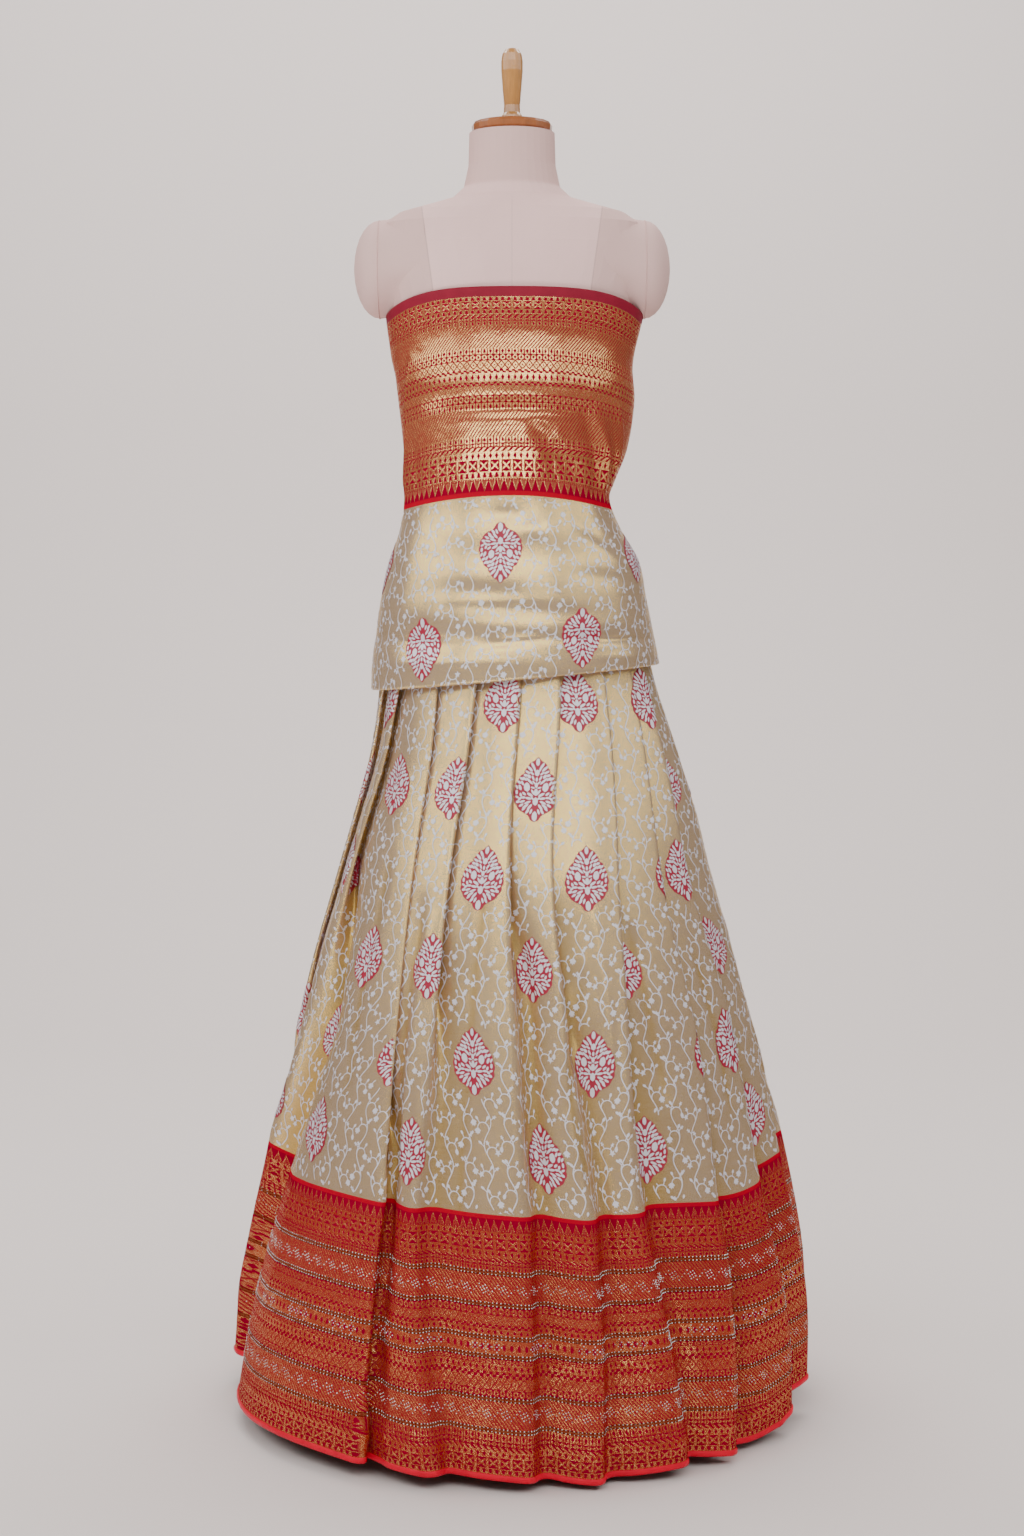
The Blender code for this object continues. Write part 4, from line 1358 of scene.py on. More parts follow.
def vine_pattern():
    """The vines of one repeat: swaying stems with a scroll and a sprig at each bend."""
    made = Pattern()
    rng = random.Random(3)
    gap = 1000.0 * REPEAT / STEM_COUNT
    period = 1000.0 * ROW_STEP / 2
    count = round(2 * period / STEM_STEP)
    for k in range(STEM_COUNT):
        middle = (k + 0.5 - STEM_COUNT / 2) * gap
        side = 1.0 if k % 2 else -1.0
        line = []
        for i in range(count + 1):
            v = -period + 2 * period * i / count
            sway = side * STEM_SWAY * math.sin(2 * math.pi * v / period)
            line.append(np.array((middle + sway, v)))
        draw_line(made, line, STEM_WIDTH)
        for bend in range(STEM_BENDS):
            v = -period + (bend + SCROLL_STARTS[k % 2]) * period / 2
            lean = side if bend % 2 == 0 else -side
            i = round((v + period) / (2 * period) * count)
            draw_scroll(made, rng, line[i - 2], -lean)
            out = unit(np.array((lean, rng.uniform(0.5, 1.1))))
            foot = line[min(i + rng.choice((0, 1)), count)]
            draw_sprig(made, rng, foot, out, 0.75)
    return made


def medallion_pattern():
    """One medallion: a scalloped crimson leaf filled with silver petals."""
    made = Pattern()
    drops = [row[0] for row in MEDALLION_WIDTHS]
    halves = [row[1] for row in MEDALLION_WIDTHS]
    lines = []
    for i in range(MEDALLION_ROWS + 1):
        drop = MEDALLION_WIDTHS[-1][0] * i / MEDALLION_ROWS
        half = float(np.interp(drop, drops, halves))
        if 0 < i < MEDALLION_ROWS:
            half += SCALLOP_REACH * abs(math.sin(math.pi * i / SCALLOP_ROWS))
        lines.append([(half * share, MEDALLION_TIP - drop) for share in MEDALLION_SHARES])
    made.sheet(lines, CRIMSON, LEAF_LIFT)
    for y, length, width in MIDDLE_PETALS:
        made.ring(petal(0.0, y, 90.0, length, width), SILVER, PETAL_LIFT)
    for x, y, degrees, length, width in SIDE_PETALS:
        made.ring(petal(x, y, degrees, length, width), SILVER, PETAL_LIFT)
        made.ring(petal(-x, y, 180.0 - degrees, length, width), SILVER, PETAL_LIFT)
    return made


def lattice_spots(u_range, v_range):
    """Where the repeat's middles lie within a stretch of cloth."""
    spots = []
    low = math.floor((v_range[0] - FIRST_ROW) / ROW_STEP) - 1
    high = math.ceil((v_range[1] - FIRST_ROW) / ROW_STEP) + 1
    for row in range(low, high + 1):
        shift = FIRST_SHIFT if row % 2 == 0 else 0.0
        first = math.ceil((u_range[0] - shift) / REPEAT)
        last = math.floor((u_range[1] - shift) / REPEAT)
        for column in range(first, last + 1):
            spots.append((shift + column * REPEAT, FIRST_ROW + row * ROW_STEP))
    return np.array(spots)


# A face of the pattern squeezed below this share of its flat size lies hidden in a tuck
LEAST_SHARE = 0.30


def woven(name, cloth, pattern, spots, u_range, v_range, materials):
    """A pattern repeated over a cloth as thin raised threads, left out where it is tucked away."""
    points, faces, kinds, lifts = pattern.arrays()
    count = len(spots)
    flat = (points[None] + spots[:, None]).reshape(-1, 2)
    lift = np.tile(lifts, count)
    every = (faces[None] + (np.arange(count) * len(points))[:, None, None]).reshape(-1, 3)
    kind = np.tile(kinds, count)
    inside = (flat[:, 1] > v_range[0]) & (flat[:, 1] < v_range[1])
    inside &= (flat[:, 0] > u_range[0]) & (flat[:, 0] < u_range[1])
    keep = inside[every].all(axis=1)
    every, kind = every[keep], kind[keep]
    placed = cloth.place(flat[:, 0], flat[:, 1], lift)
    a, b, c = (placed[every[:, k]] for k in range(3))
    size = np.linalg.norm(np.cross(b - a, c - a), axis=1)
    fa, fb, fc = (flat[every[:, k]] for k in range(3))
    flat_size = np.abs((fb - fa)[:, 0] * (fc - fa)[:, 1] - (fb - fa)[:, 1] * (fc - fa)[:, 0])
    keep = size > LEAST_SHARE * flat_size
    every, kind = every[keep], kind[keep]
    used, renumbered = np.unique(every, return_inverse=True)
    faces = renumbered.reshape(-1, 3)
    return build_mesh(name, placed[used], faces, materials, face_kind=kind)


def row_stones():
    """The double rows of stones, as u and v."""
    spots = []
    round_it = round(CLOTH_ROUND / STONE_PITCH)
    for v in STONE_ROWS:
        for side in (-0.5, 0.5):
            for i in range(round_it):
                spots.append((i * CLOTH_ROUND / round_it, v + side * STONE_PAIR))
    return spots


def zigzag_stones():
    """The leaning squares of nine stones with a slanting line between them, as u and v."""
    spots = []
    repeats = round(CLOTH_ROUND / ZIGZAG_PITCH)
    pitch = CLOTH_ROUND / repeats
    lean = math.radians(SQUARE_LEAN)
    for v in ZIGZAGS:
        for i in range(repeats):
            for a in (-1, 0, 1):
                for b in (-1, 0, 1):
                    x = (a * math.cos(lean) - b * math.sin(lean)) * SQUARE_STEP
                    y = (a * math.sin(lean) + b * math.cos(lean)) * SQUARE_STEP
                    spots.append((i * pitch + x, v + y))
            for k in range(SLASH_STONES):
                share = SLASH_ACROSS[0] + SLASH_ACROSS[1] * k
                spots.append((i * pitch + share * pitch, v + SLASH_UP[0] + SLASH_UP[1] * k))
    return spots


def flower_stones():
    """The groups of flowers, a stone in the middle of each and eight round it, as u and v."""
    spots = []
    repeats = round(CLOTH_ROUND / CLUSTER_PITCH)
    for i in range(repeats):
        for side in CLUSTER_FLOWERS:
            u = i * CLOTH_ROUND / repeats + side
            spots.append((u, CLUSTER_ROW))
            for k in range(FLOWER_STONES):
                a = 2 * math.pi * k / FLOWER_STONES
                far = FLOWER_REACH[k % 2]
                spots.append((u + far * math.cos(a), CLUSTER_ROW + far * math.sin(a)))
    return spots


def make_stones(cloth, material):
    """Every stone of the border as a small six-sided point."""
    spots = np.array(row_stones() + zigzag_stones() + flower_stones())
    at = cloth.place(spots[:, 0], spots[:, 1], np.full(len(spots), STONE_SEAT))
    top = cloth.place(spots[:, 0], spots[:, 1], np.full(len(spots), STONE_PROBE))
    out = unit(top - at)
    over = unit(np.cross(np.array((0.0, 0.0, 1.0)), out))
    up = np.cross(out, over)
    verts = [at + out * STONE_HEIGHT]
    for k in range(STONE_SIDES):
        a = 2 * math.pi * k / STONE_SIDES
        verts.append(at + STONE_RADIUS * (over * math.cos(a) + up * math.sin(a)))
    verts = np.stack(verts, axis=1).reshape(-1, 3)
    base = np.arange(len(spots))[:, None, None] * (STONE_SIDES + 1)
    fan = np.array([(0, 1 + k, 1 + (k + 1) % STONE_SIDES) for k in range(STONE_SIDES)])
    made = build_mesh("border_stones", verts, (fan[None] + base).reshape(-1, 3), [material])
    made.data.shade_flat()
    return made


def dressed(obj):
    """Rides a piece on the body."""
    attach(obj, "root")
    return obj


# Rows of the field that the wrap hides, and the step between those below
HIDDEN_LEVELS = (1.045, 1.000, 0.955, 0.915, 0.885, 0.868)
FIELD_STEP = 0.0058

# How much painted shade the folds' valleys get: the depth where it starts and what it takes, the
# height where the pleats open and what that takes, and how much of a crease's painted shade counts
FOLD_SHADE_FROM = 0.004
FOLD_SHADE_FULL = 0.020
PLEATS_OPEN_AT = 0.90
PLEATS_OPEN_OVER = 0.12
CREASE_SHADE_SHARE = 0.8


def fold_shade_share(depth, points):
    """The painted shade of each point, from 0 to 1, by how far down in a fold it lies, less where the
    pleats are pressed.
    """
    share = smooth((depth - FOLD_SHADE_FROM) / FOLD_SHADE_FULL)
    return share * smooth((PLEATS_OPEN_AT - points[..., 2]) / PLEATS_OPEN_OVER)


def make_field():
    """The skirt's field cloth, and where its threads lie."""
    count = round((HIDDEN_LEVELS[-1] - BORDER_TOP) / FIELD_STEP)
    lower = np.linspace(HIDDEN_LEVELS[-1], BORDER_TOP, count + 1)[1:]
    levels = np.concatenate([HIDDEN_LEVELS, lower])
    points, u, depth, crease_shade = skirt_cloth(levels)
    v = slant(np.concatenate([levels, [FOOT]]))[:-1]
    uv = grid_uv(u, v[:-1], v[1:])
    made = grid_mesh("skirt_field_cloth", points, True, [brocade_ground], uv=uv)
    # Painted shade: deep in the folds' valleys and along the creases' troughs the ground is painted
    # darker
    point_value(made, "valley", np.maximum(fold_shade_share(depth, points), CREASE_SHADE_SHARE * crease_shade))
    return dressed(made), Cloth(points, u, v, True)


def band_grid(bands, whole, longest):
    """Row heights of a banded cloth as distances, with each row of faces' band."""
    total = sum(height for _, height, _ in bands)
    edges, owner = [0.0], []
    for index, (_, height, _) in enumerate(bands):
        size = height / total * whole
        steps = max(1, math.ceil(size / longest))
        start = edges[-1]
        for k in range(steps):
            edges.append(start + size * (k + 1) / steps)
            owner.append((index, k / steps, (k + 1) / steps))
    return np.array(edges), owner


def band_kinds(bands):
    """The kinds of row in some bands, each once."""
    return sorted({kind for kind, _, _ in bands})


def band_uv(u, bands, owner):
    """The cloth map of a banded cloth: u in repeats and v from 0 to 1 within each band."""
    pitches = np.array([bands[index][2] / 1000.0 for index, _, _ in owner])
    repeats = np.round(CLOTH_ROUND / pitches) / CLOTH_ROUND
    first = np.array([start for _, start, _ in owner])
    last = np.array([end for _, _, end in owner])
    return grid_uv(u, first, last, repeats[:, None])


def banded_mesh(name, points, closed, u, bands, owner, finishes):
    """A banded cloth, each row of its faces in the finish of its own kind."""
    kinds = band_kinds(bands)
    columns = points.shape[1] if closed else points.shape[1] - 1
    face_kind = np.repeat([kinds.index(bands[index][0]) for index, _, _ in owner], columns)
    uv = band_uv(u, bands, owner)
    materials = [finishes[kind] for kind in kinds]
    made = grid_mesh(name, points, closed, materials, face_kind=face_kind, uv=uv)
    return dressed(made)


# Longest rows of faces on the two borders, and rows that measure the skirt border's slant
BORDER_STEP = 0.0072
BODICE_STEP = 0.022
SLANT_ROWS = 60


def make_border():
    """The skirt's border cloth, and where its threads lie."""
    fine = np.linspace(BORDER_TOP, FOOT, SLANT_ROWS)
    climb = slant(fine)
    bands = tuple(reversed(BORDER_BANDS))
    edges, owner = band_grid(bands, climb[0], BORDER_STEP)
    levels = np.interp(climb[0] - edges, climb[::-1], fine[::-1])
    levels[0], levels[-1] = BORDER_TOP, FOOT
    points, u, _, _ = skirt_cloth(levels)
    owner_up = [(index, 1.0 - first, 1.0 - last) for index, first, last in owner]
    made = banded_mesh("skirt_border_cloth", points, True, u, bands, owner_up, skirt_rows)
    return made, Cloth(points, u, climb[0] - edges, True)


# The hem's roll: how far out of the cloth, and how far up from its middle
PIPING_SECTION = (
    (-0.0015, 0.0010), (-0.0006, 0.0031), (0.0006, 0.0031), (0.0016, 0.0012), (0.0017, -0.0014),
    (0.0008, -0.0031), (-0.0006, -0.0031), (-0.0015, -0.0012),
)


def make_piping():
    """The satin roll round the hem."""
    half = PIPING_HEIGHT / 2
    middle = HEM + half
    points, _, _, _ = skirt_cloth([middle + half, middle, middle - half])
    out = grid_normals(points, True)[1]
    core = points[1]
    rings = []
    for proud, up in PIPING_SECTION:
        ring = core + out * proud
        ring[:, 2] += up
        rings.append(ring)
    rings.append(rings[0].copy())
    grid = np.array(rings)
    high, wide = grid.shape[:2]
    faces = grid_faces(high, wide, True)[:, ::-1]
    faces = np.where(faces >= (high - 1) * wide, faces - (high - 1) * wide, faces)
    verts = grid[:-1].reshape(-1, 3)
    made = build_mesh("hem_piping_satin", verts, faces, [satin_red])
    return dressed(made)


def wrap_grid(degrees, z, inset):
    """Points of the wrapped cloth over a grid of angles and heights."""
    lap = WRAP_LAP_RISE + ROLL_LAP_RISE * smooth((ROLL_LAP_FROM - z) / ROLL_LAP_TAKES)
    lap = lap * smooth((degrees - LAP_FROM_DEG) / LAP_TAKES_DEG)
    rise = fold_line_rise(WRAP_FOLDS, degrees, z) + fold_line_rise(WRAP_CREASES, degrees, z)
    heights = [row[0] for row in reversed(BODICE_EDGE)]
    angles = [row[1] for row in reversed(BODICE_EDGE)]
    edge = np.interp(z, heights, angles)
    below = smooth((BODICE_EDGE_TOP[0] - z) / BODICE_EDGE_TOP[1])
    below = below * smooth((z - BODICE_EDGE_FOOT[0]) / BODICE_EDGE_FOOT[1])
    past = smooth((edge - degrees) / BODICE_EDGE_STEP)
    past = past * smooth((degrees - BODICE_EDGE_END[0]) / BODICE_EDGE_END[1])
    rise = rise - BODICE_EDGE_DROP * past * below
    ridge = np.exp(-(((degrees - edge - BODICE_RIDGE_DEG) / BODICE_RIDGE_DEG) ** 2))
    rise = rise + BODICE_RIDGE_RISE * ridge * below
    depth = inset - lap - rise
    points = np.zeros((*z.shape, 3))
    for r in range(z.shape[0]):
        for c in range(z.shape[1]):
            at = on_outline(WRAP_OUTLINE, z[r, c], degrees[r, c], depth[r, c])
            points[r, c] = (at[0], at[1], z[r, c])
    return points


WRAP_COLUMNS = 260


def wrap_angles():
    """Angles of the wrapped cloth's columns, from its first end to its last."""
    half = 180.0 + WRAP_LAP_DEG
    return np.linspace(-half, half, WRAP_COLUMNS + 1)


def wrap_edges():
    """Heights of the wrap's top, red line and bottom fold at each column."""
    turn = np.sin(np.radians(wrap_angles()))
    top = WRAP_TOP - UNDERARM_DIP * turn**4
    line = WRAP_LINE - WRAP_LINE_DIP * turn**2
    bottom = WRAP_BOTTOM + WRAP_TILT * turn
    return top, line, bottom


def arc_rows(points):
    """Distance along each row from its middle."""
    steps = np.linalg.norm(np.diff(points, axis=1), axis=2)
    arc = np.concatenate([np.zeros((len(points), 1)), np.cumsum(steps, axis=1)], axis=1)
    return arc - arc[:, [arc.shape[1] // 2]]


# From the hidden edge over the top and down the outside: height above the top, and inset
SELVAGE_SECTION = (
    (-0.0080, 0.0016), (-0.0030, 0.0016), (-0.0006, 0.0013), (0.0, 0.0008), (-0.0006, 0.0002),
    (-0.0020, 0.0), (-0.0060, 0.0), (-0.0120, 0.0),
)


def make_selvage():
    """The plain woven edge along the top, turned over inside."""
    top, _, _ = wrap_edges()
    degrees = wrap_angles()
    z = np.array([top + up for up, _ in SELVAGE_SECTION])
    inset = np.array([np.full(len(degrees), deep) for _, deep in SELVAGE_SECTION])
    points = wrap_grid(np.broadcast_to(degrees, z.shape), z, inset)
    u = arc_rows(points)
    uv = grid_uv(u, z[:-1].mean(1), z[1:].mean(1))
    made = grid_mesh("wrap_selvage_cloth", points, False, [maroon], uv=uv)
    return dressed(made), u


def make_bodice():
    """The border of the wrapped cloth over the bust."""
    top, line, _ = wrap_edges()
    top = top - SELVAGE_HEIGHT
    edges, owner = band_grid(BODICE_BANDS, 1.0, BODICE_STEP)
    z = top + (line - top) * edges[:, None]
    degrees = np.broadcast_to(wrap_angles(), z.shape)
    points = wrap_grid(degrees, z, np.zeros(z.shape))
    u = arc_rows(points)
    return banded_mesh("wrap_border_cloth", points, False, u, BODICE_BANDS, owner, bodice_rows)


# Rows of the hips' cloth: those that hang, those of its rolled fold and those turned up inside,
# the roll's first row with painted shade, and how strong the painted shade is from there
HIP_ROWS = 58
ROLL_ROWS = 8
TURN_UP_ROWS = (0.010, 0.020, ROLL_TURN_UP)
SHADED_ROLL_ROW = 3
ROLL_SHADE_SHARE = 0.7


def roll_section():
    """The fold below the hips and what it turns up: height, inset and drop of each row."""
    section = []
    for step in range(1, ROLL_ROWS + 1):
        a = math.radians(180.0 * step / ROLL_ROWS)
        section.append((0.0, ROLL_RADIUS * (1.0 - math.cos(a)), ROLL_RADIUS * math.sin(a)))
    return section + [(up, 2 * ROLL_RADIUS, 0.0) for up in TURN_UP_ROWS]


def make_hips():
    """The wrapped field cloth over the hips, with its rolled fold at the bottom."""
    _, line, bottom = wrap_edges()
    foot = bottom + ROLL_RADIUS
    shares = np.linspace(0.0, 1.0, HIP_ROWS + 1)[:, None]
    z = line + (foot - line) * shares
    section = [(0.0, 0.0, 0.0)] * len(z) + roll_section()
    z = np.vstack([z, *[foot + up for up, _, _ in roll_section()]])
    inset = np.repeat([[inwards] for _, inwards, _ in section], z.shape[1], axis=1)
    degrees = np.broadcast_to(wrap_angles(), z.shape)
    points = wrap_grid(degrees, z, inset)
    points[..., 2] -= np.array([[drop] for _, _, drop in section])
    middle = points[:, WRAP_COLUMNS // 2]
    down = np.concatenate([[0.0], np.cumsum(np.linalg.norm(np.diff(middle, axis=0), axis=1))])
    u = arc_rows(points)
    uv = grid_uv(u, down[:-1], down[1:])
    made = grid_mesh("wrap_field_cloth", points, False, [brocade_ground], uv=uv)
    # Painted shade under the roll and on the cloth it turns up
    under = np.zeros(z.shape)
    under[HIP_ROWS + SHADED_ROLL_ROW :] = ROLL_SHADE_SHARE
    point_value(made, "valley", under)
    return dressed(made), Cloth(points, u, down, False, turn=-1.0)


# The form: height, half width, reach to the front and back, and how square its section is
TORSO = (
    (1.486, 0.0505, 0.050, 0.050, 2.0),
    (1.448, 0.0515, 0.050, 0.052, 2.0),
    (1.422, 0.057, 0.052, 0.055, 2.0),
    (1.409, 0.071, 0.055, 0.060, 2.0),
    (1.401, 0.098, 0.060, 0.068, 2.2),
    (1.391, 0.133, 0.067, 0.077, 2.4),
    (1.377, 0.1530, 0.074, 0.085, 2.5),
    (1.350, 0.1560, 0.085, 0.095, 2.5),
    (1.310, 0.1520, 0.094, 0.097, 2.2),
    (1.262, 0.1425, 0.1035, 0.099, 2.0),
    (1.210, 0.1370, 0.1135, 0.099, 2.0),
)

# The wrapped cloth's repeat: its u and distance below the red line, how far it is stretched up and
# down, and how far outside the cloth a repeat's middle may lie
WRAP_SPOT = (0.013, 0.068)
WRAP_STRETCH = 1.04
SPOT_MARGIN = 0.06


def wrap_spots(length, height):
    """The repeat's middles on the wrapped cloth."""
    spots = []
    for row in range(-2, 4):
        for column in range(-5, 6):
            u = WRAP_SPOT[0] + column * REPEAT + (REPEAT / 2 if row % 2 else 0.0)
            v = WRAP_SPOT[1] + row * ROW_STEP * WRAP_STRETCH
            if abs(u) < length and -SPOT_MARGIN < v < height + SPOT_MARGIN:
                spots.append((u, v))
    return np.array(spots)


def in_torso(x, k, turn):
    """Whether a point round a shoulder's axis, at k of the cap's radius, lies within the torso."""
    _, ry, rz = CAP_RADII
    y, z = k * ry * math.cos(turn), CAP_Z + k * rz * math.sin(turn)
    half = along(TORSO, 1, z)
    deep = along(TORSO, 2 if y < 0 else 3, z)
    power = along(TORSO, 4, z)
    return abs(x / half) ** power + abs(y / deep) ** power < 1.0


# How the shoulders are found: steps of halving, the least distance out, the range of the cap's
# radius, a short step outwards, and where the join's start moves out as it turns upwards
HALVINGS = 24
LEAST_OUT = 0.05
CAP_RANGE = (0.3, 1.9)
SHORT_STEP = 0.004
TURNS_UP = (-0.45, 0.6)


def last_inside(test, near, far):
    """The last value from near to far that a test holds for, found by halving."""
    for _ in range(HALVINGS):
        middle = (near + far) / 2
        if test(middle):
            near = middle
        else:
            far = middle
    return near


def shoulder_line(turn):
    """Points from the torso's side to the end of the shoulder cap, at one turn round its axis."""
    rx, ry, rz = CAP_RADII
    side = last_inside(lambda x: in_torso(x, 1.0, turn), LEAST_OUT, CAP_X)
    upward = float(smooth((math.sin(turn) - TURNS_UP[0]) / TURNS_UP[1]))
    start = side + (CAP_JOIN_X - side) * upward

    def on_torso(x):
        """The torso's point at a distance out, at this turn."""
        k = last_inside(lambda k: in_torso(x, k, turn), *CAP_RANGE)
        return np.array((x, k * ry * math.cos(turn), CAP_Z + k * rz * math.sin(turn)))

    first, second = on_torso(start), on_torso(start + SHORT_STEP)
    rim = np.array((CAP_X, ry * math.cos(turn), CAP_Z + rz * math.sin(turn)))
    long = np.linalg.norm(rim - first)
    leave = unit(second - first) * CAP_JOIN_PULL * long
    arrive = np.array((long, 0.0, 0.0))
    steps = range(CAP_JOIN_STEPS)
    line = [hermite(step / CAP_JOIN_STEPS, first, leave, rim, arrive) for step in steps]
    line[0] = line[0] - np.array((CAP_JOIN_SINK, 0.0, 0.0))
    for lean in CAP_LEANS:
        a = math.radians(lean)
        ring = (ry * math.cos(a) * math.cos(turn), rz * math.cos(a) * math.sin(turn))
        line.append(np.array((CAP_X + rx * math.sin(a), ring[0], CAP_Z + ring[1])))
    return line


def seam_cord(rim):
    """A thin cord round a cap's edge, as rings of points."""
    out = unit(rim - np.array((CAP_X, 0.0, CAP_Z)))
    cord = []
    for i in range(CORD_SIDES):
        a = 2 * math.pi * i / CORD_SIDES
        sideways = np.array((SEAM_CORD * math.sin(a), 0.0, 0.0))
        cord.append(rim + out * SEAM_CORD * math.cos(a) + sideways)
    return np.array([*cord, cord[0]])


def make_shoulder(name, side):
    """A shoulder's padded end, faired into the torso, with a corded seam where the cap begins."""
    turns = [2 * math.pi * i / CAP_TURNS for i in range(CAP_TURNS)]
    grid = np.array([shoulder_line(turn) for turn in turns]).transpose(1, 0, 2)
    cord = seam_cord(grid[CAP_JOIN_STEPS])
    shell_faces = grid_faces(*grid.shape[:2], True)
    cord_faces = grid_faces(*cord.shape[:2], True) + grid.shape[0] * grid.shape[1]
    verts = np.concatenate([grid.reshape(-1, 3), cord.reshape(-1, 3)])
    verts[:, 0] *= side
    faces = np.concatenate([shell_faces, cord_faces])
    if side > 0:
        faces = faces[:, ::-1]
    made = build_mesh(name + "_cover", verts, faces, [cover])
    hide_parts(name)
    return dressed(made)


# The camera: its place, lens and sensor height in mm, and shift as a share of the frame
CAMERA_PLACE = (0.0, -2.9, 0.935)
CAMERA_LENS = 57.56
CAMERA_SENSOR = 36.0
CAMERA_SHIFT = -0.109


def make_camera():
    """A level camera with the photograph's framing."""
    data = bpy.data.cameras.new("camera")
    data.sensor_fit = "VERTICAL"
    data.sensor_height = CAMERA_SENSOR
    data.lens = CAMERA_LENS
    data.shift_y = CAMERA_SHIFT
    data.clip_start = 0.1
    data.clip_end = 60.0
    made = bpy.data.objects.new("camera", data)
    made.location = CAMERA_PLACE
    made.rotation_euler = (math.radians(90.0), 0.0, 0.0)
    bpy.context.scene.collection.objects.link(made)
    bpy.context.scene.camera = made


def soft_light(name, spot, aim, size, watts):
    """One soft light aimed at a point."""
    data = bpy.data.lights.new(name, "AREA")
    data.shape = "RECTANGLE"
    data.size, data.size_y = size
    data.energy = watts
    made = bpy.data.objects.new(name, data)
    away = np.array(spot) - np.array(aim)
    reach = math.hypot(away[0], away[1])
    made.location = spot
    made.rotation_euler = (math.atan2(reach, away[2]), 0.0, math.atan2(away[0], -away[1]))
    bpy.context.scene.collection.objects.link(made)


# Soft lights: place, what they aim at, size and power in watts. The low ones lie flat, facing up,
# and light what hangs over without lighting the hem
LIGHTS = (
    ("front", (0.0, -3.1, 3.05), (0.0, 0.0, 0.8), (4.3, 1.8), 102.0),
    ("left", (-2.9, -1.0, 2.75), (0.0, 0.0, 0.8), (3.4, 1.7), 58.0),
    ("right", (2.9, -1.0, 2.75), (0.0, 0.0, 0.8), (3.4, 1.7), 38.0),
    ("low", (-0.9, -3.0, -0.10), (-0.9, -2.99, 3.0), (3.8, 2.0), 135.0),
    ("low_left", (-3.3, -0.9, -0.10), (-3.29, -0.9, 3.0), (2.0, 2.0), 40.0),
    ("behind", (0.0, 1.2, 3.8), (0.0, 2.4, 0.6), (4.0, 1.6), 150.0),
)


# The seamless paper: half its width, its front and the start of its bend, the bend's radius and its
# top. Then the colour and brightness of the room beyond it
SWEEP_HALF_WIDTH = 2.0
SWEEP_FRONT = -0.9
SWEEP_BEND_AT = 2.2
SWEEP_RADIUS = 1.4
SWEEP_TOP = 6.0
SWEEP_STEPS = 8
ROOM_COLOUR = (1.0, 0.98, 0.97, 1.0)
ROOM_LIGHT = 0.20


def make_studio():
    """A pale seamless sweep, soft lights and an even fill."""
    profile = [(SWEEP_FRONT, 0.0), (SWEEP_BEND_AT, 0.0)]
    for k in range(1, SWEEP_STEPS + 1):
        a = math.pi / 2 * k / SWEEP_STEPS
        y, z = SWEEP_BEND_AT + SWEEP_RADIUS * math.sin(a), SWEEP_RADIUS * (1.0 - math.cos(a))
        profile.append((y, z))
    profile.append((SWEEP_BEND_AT + SWEEP_RADIUS, SWEEP_TOP))
    verts, faces = [], []
    for y, z in profile:
        verts += [(-SWEEP_HALF_WIDTH, y, z), (SWEEP_HALF_WIDTH, y, z)]
    for i in range(len(profile) - 1):
        a = 2 * i
        faces.append((a, a + 1, a + 3, a + 2))
    sweep = build_mesh("backdrop", np.array(verts), np.array(faces), [backdrop_paper()])
    for name, spot, aim, size, watts in LIGHTS:
        soft_light(name, spot, aim, size, watts)
    world = bpy.data.worlds.new("studio")
    world.use_nodes = True
    room = world.node_tree.nodes["Background"]
    room.inputs["Color"].default_value = ROOM_COLOUR
    room.inputs["Strength"].default_value = ROOM_LIGHT
    bpy.context.scene.world = world


brocade_ground = brocade()
silver_thread = metal_thread("silver_thread", COLOURS["silver"], 0.42, 0.25)
crimson_thread = metal_thread("crimson_thread", COLOURS["crimson"], 0.5, 0.0)
skirt_rows = {kind: band_material("skirt", kind, SKIRT_WEFT) for kind in band_kinds(BORDER_BANDS)}
bodice_rows = {kind: band_material("bodice", kind, BODICE_WEFT) for kind in band_kinds(BODICE_BANDS)}
satin_red = satin("piping_satin", COLOURS["piping"], 0.6, 0.34)
maroon = satin("selvage_weave", COLOURS["maroon"], 0.7, 0.5)
cover = jersey()
handle_wood = varnished_wood("handle_wood", COLOURS["handle_wood"])
cap_wood = varnished_wood("cap_wood", COLOURS["cap_wood"])
paint = painted_metal()
stone = stone_glass()

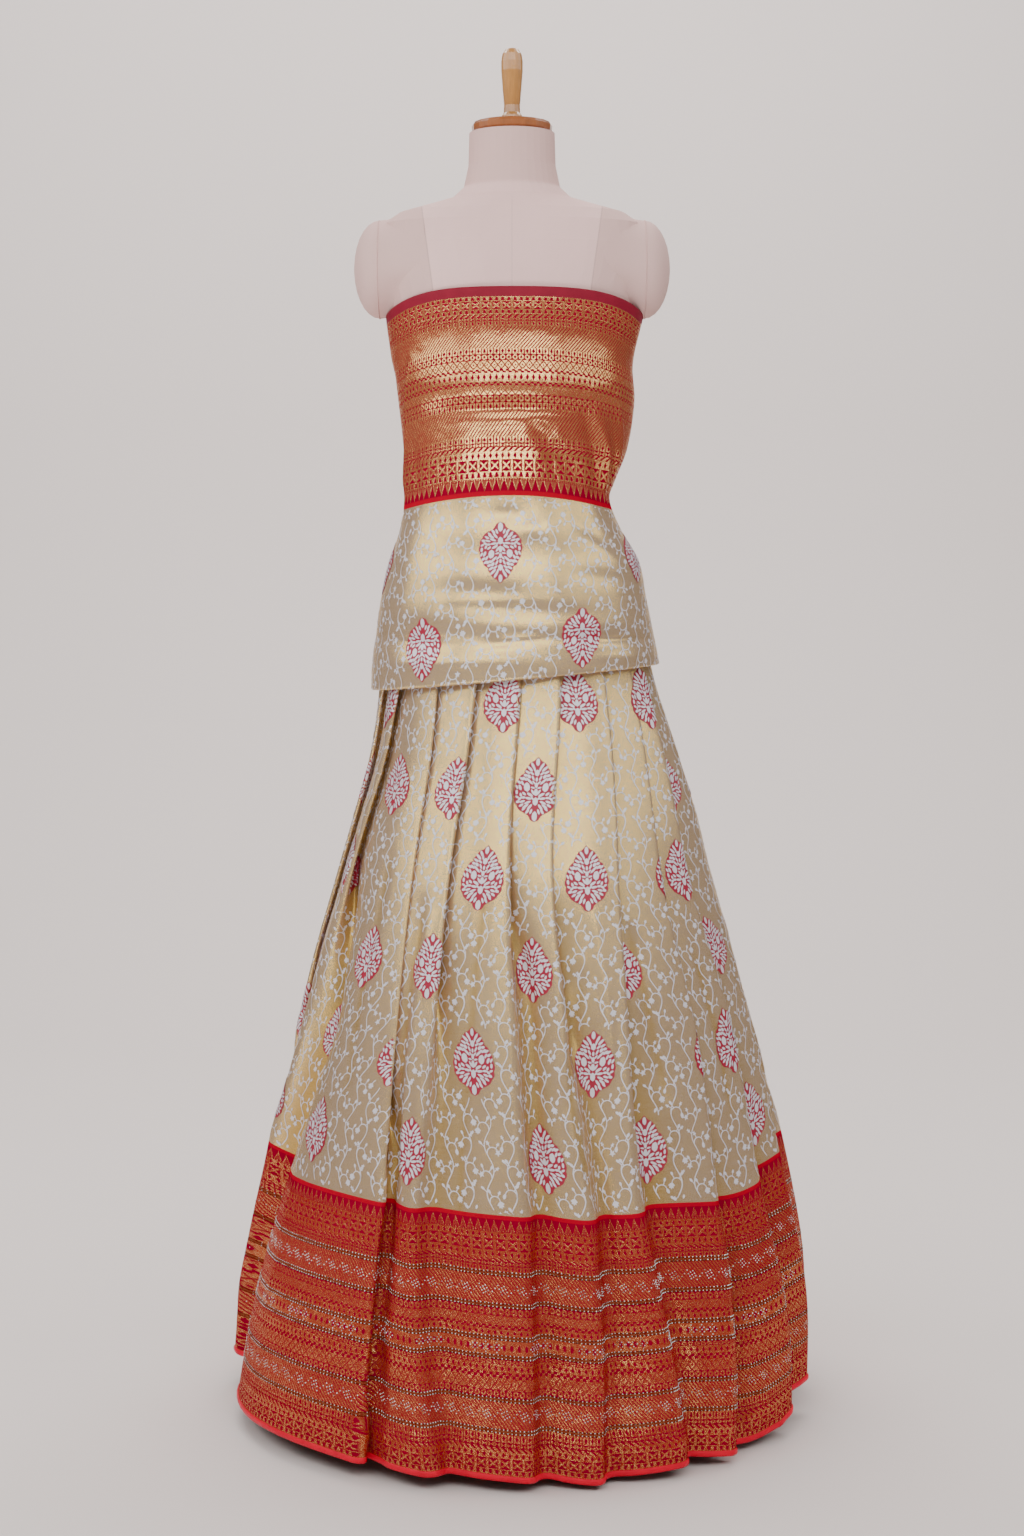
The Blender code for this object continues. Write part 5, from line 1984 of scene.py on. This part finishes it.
for node, finish in (
    ("form_torso", cover),
    ("neck_cap", cap_wood),
    ("handle", handle_wood),
    ("pole", paint),
    ("base_plate", paint),
):
    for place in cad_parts[node].material_slots:
        place.material = finish

field, field_cloth = make_field()
border, border_cloth = make_border()
piping = make_piping()
selvage, selvage_arc = make_selvage()
bodice = make_bodice()
hips, hips_cloth = make_hips()

# How far the pattern keeps from the wrap's ends and the skirt's border, the highest it goes on the
# skirt, and how far past the wrap's ends a repeat's middle may lie. On the skirt it goes all round,
# with the last middle just short of the first
PATTERN_EDGE = 0.002
PATTERN_FOOT = 0.0015
PATTERN_TOP = 0.90
PAST_ENDS = 0.09
ALL_ROUND = (-10.0, 10.0)
SHORT_OF_ROUND = 0.001

field_rows = (float(field_cloth.v[-1]) + PATTERN_FOOT, PATTERN_TOP)
field_spots = lattice_spots((0.0, CLOTH_ROUND - SHORT_OF_ROUND), field_rows)
vines = vine_pattern()
medallion = medallion_pattern()
threads = [silver_thread, crimson_thread]
field_vines = woven("field_vines", field_cloth, vines, field_spots, ALL_ROUND, field_rows, threads)
field_butis = woven(
    "field_medallions", field_cloth, medallion, field_spots, ALL_ROUND, field_rows, threads
)
hips_ends = (float(hips_cloth.u.min()) + PATTERN_EDGE, float(hips_cloth.u.max()) - PATTERN_EDGE)
hips_rows = (PATTERN_EDGE, float(hips_cloth.v[HIP_ROWS + ROLL_ROWS // 2]))
hips_spots = wrap_spots(hips_ends[1] + PAST_ENDS, hips_rows[1])
hips_vines = woven("wrap_vines", hips_cloth, vines, hips_spots, hips_ends, hips_rows, threads)
hips_butis = woven(
    "wrap_medallions", hips_cloth, medallion, hips_spots, hips_ends, hips_rows, threads
)
stones = make_stones(border_cloth, stone)
for piece in (field_vines, field_butis, hips_vines, hips_butis):
    dressed(piece)
dressed(stones)

make_shoulder("shoulder_cap_left", -1.0)
make_shoulder("shoulder_cap_right", 1.0)

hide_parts("skirt_field")
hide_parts("skirt_border")
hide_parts("hem_piping")
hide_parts("wrap_selvage")
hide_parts("wrap_border")
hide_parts("wrap_field")

make_camera()
make_studio()
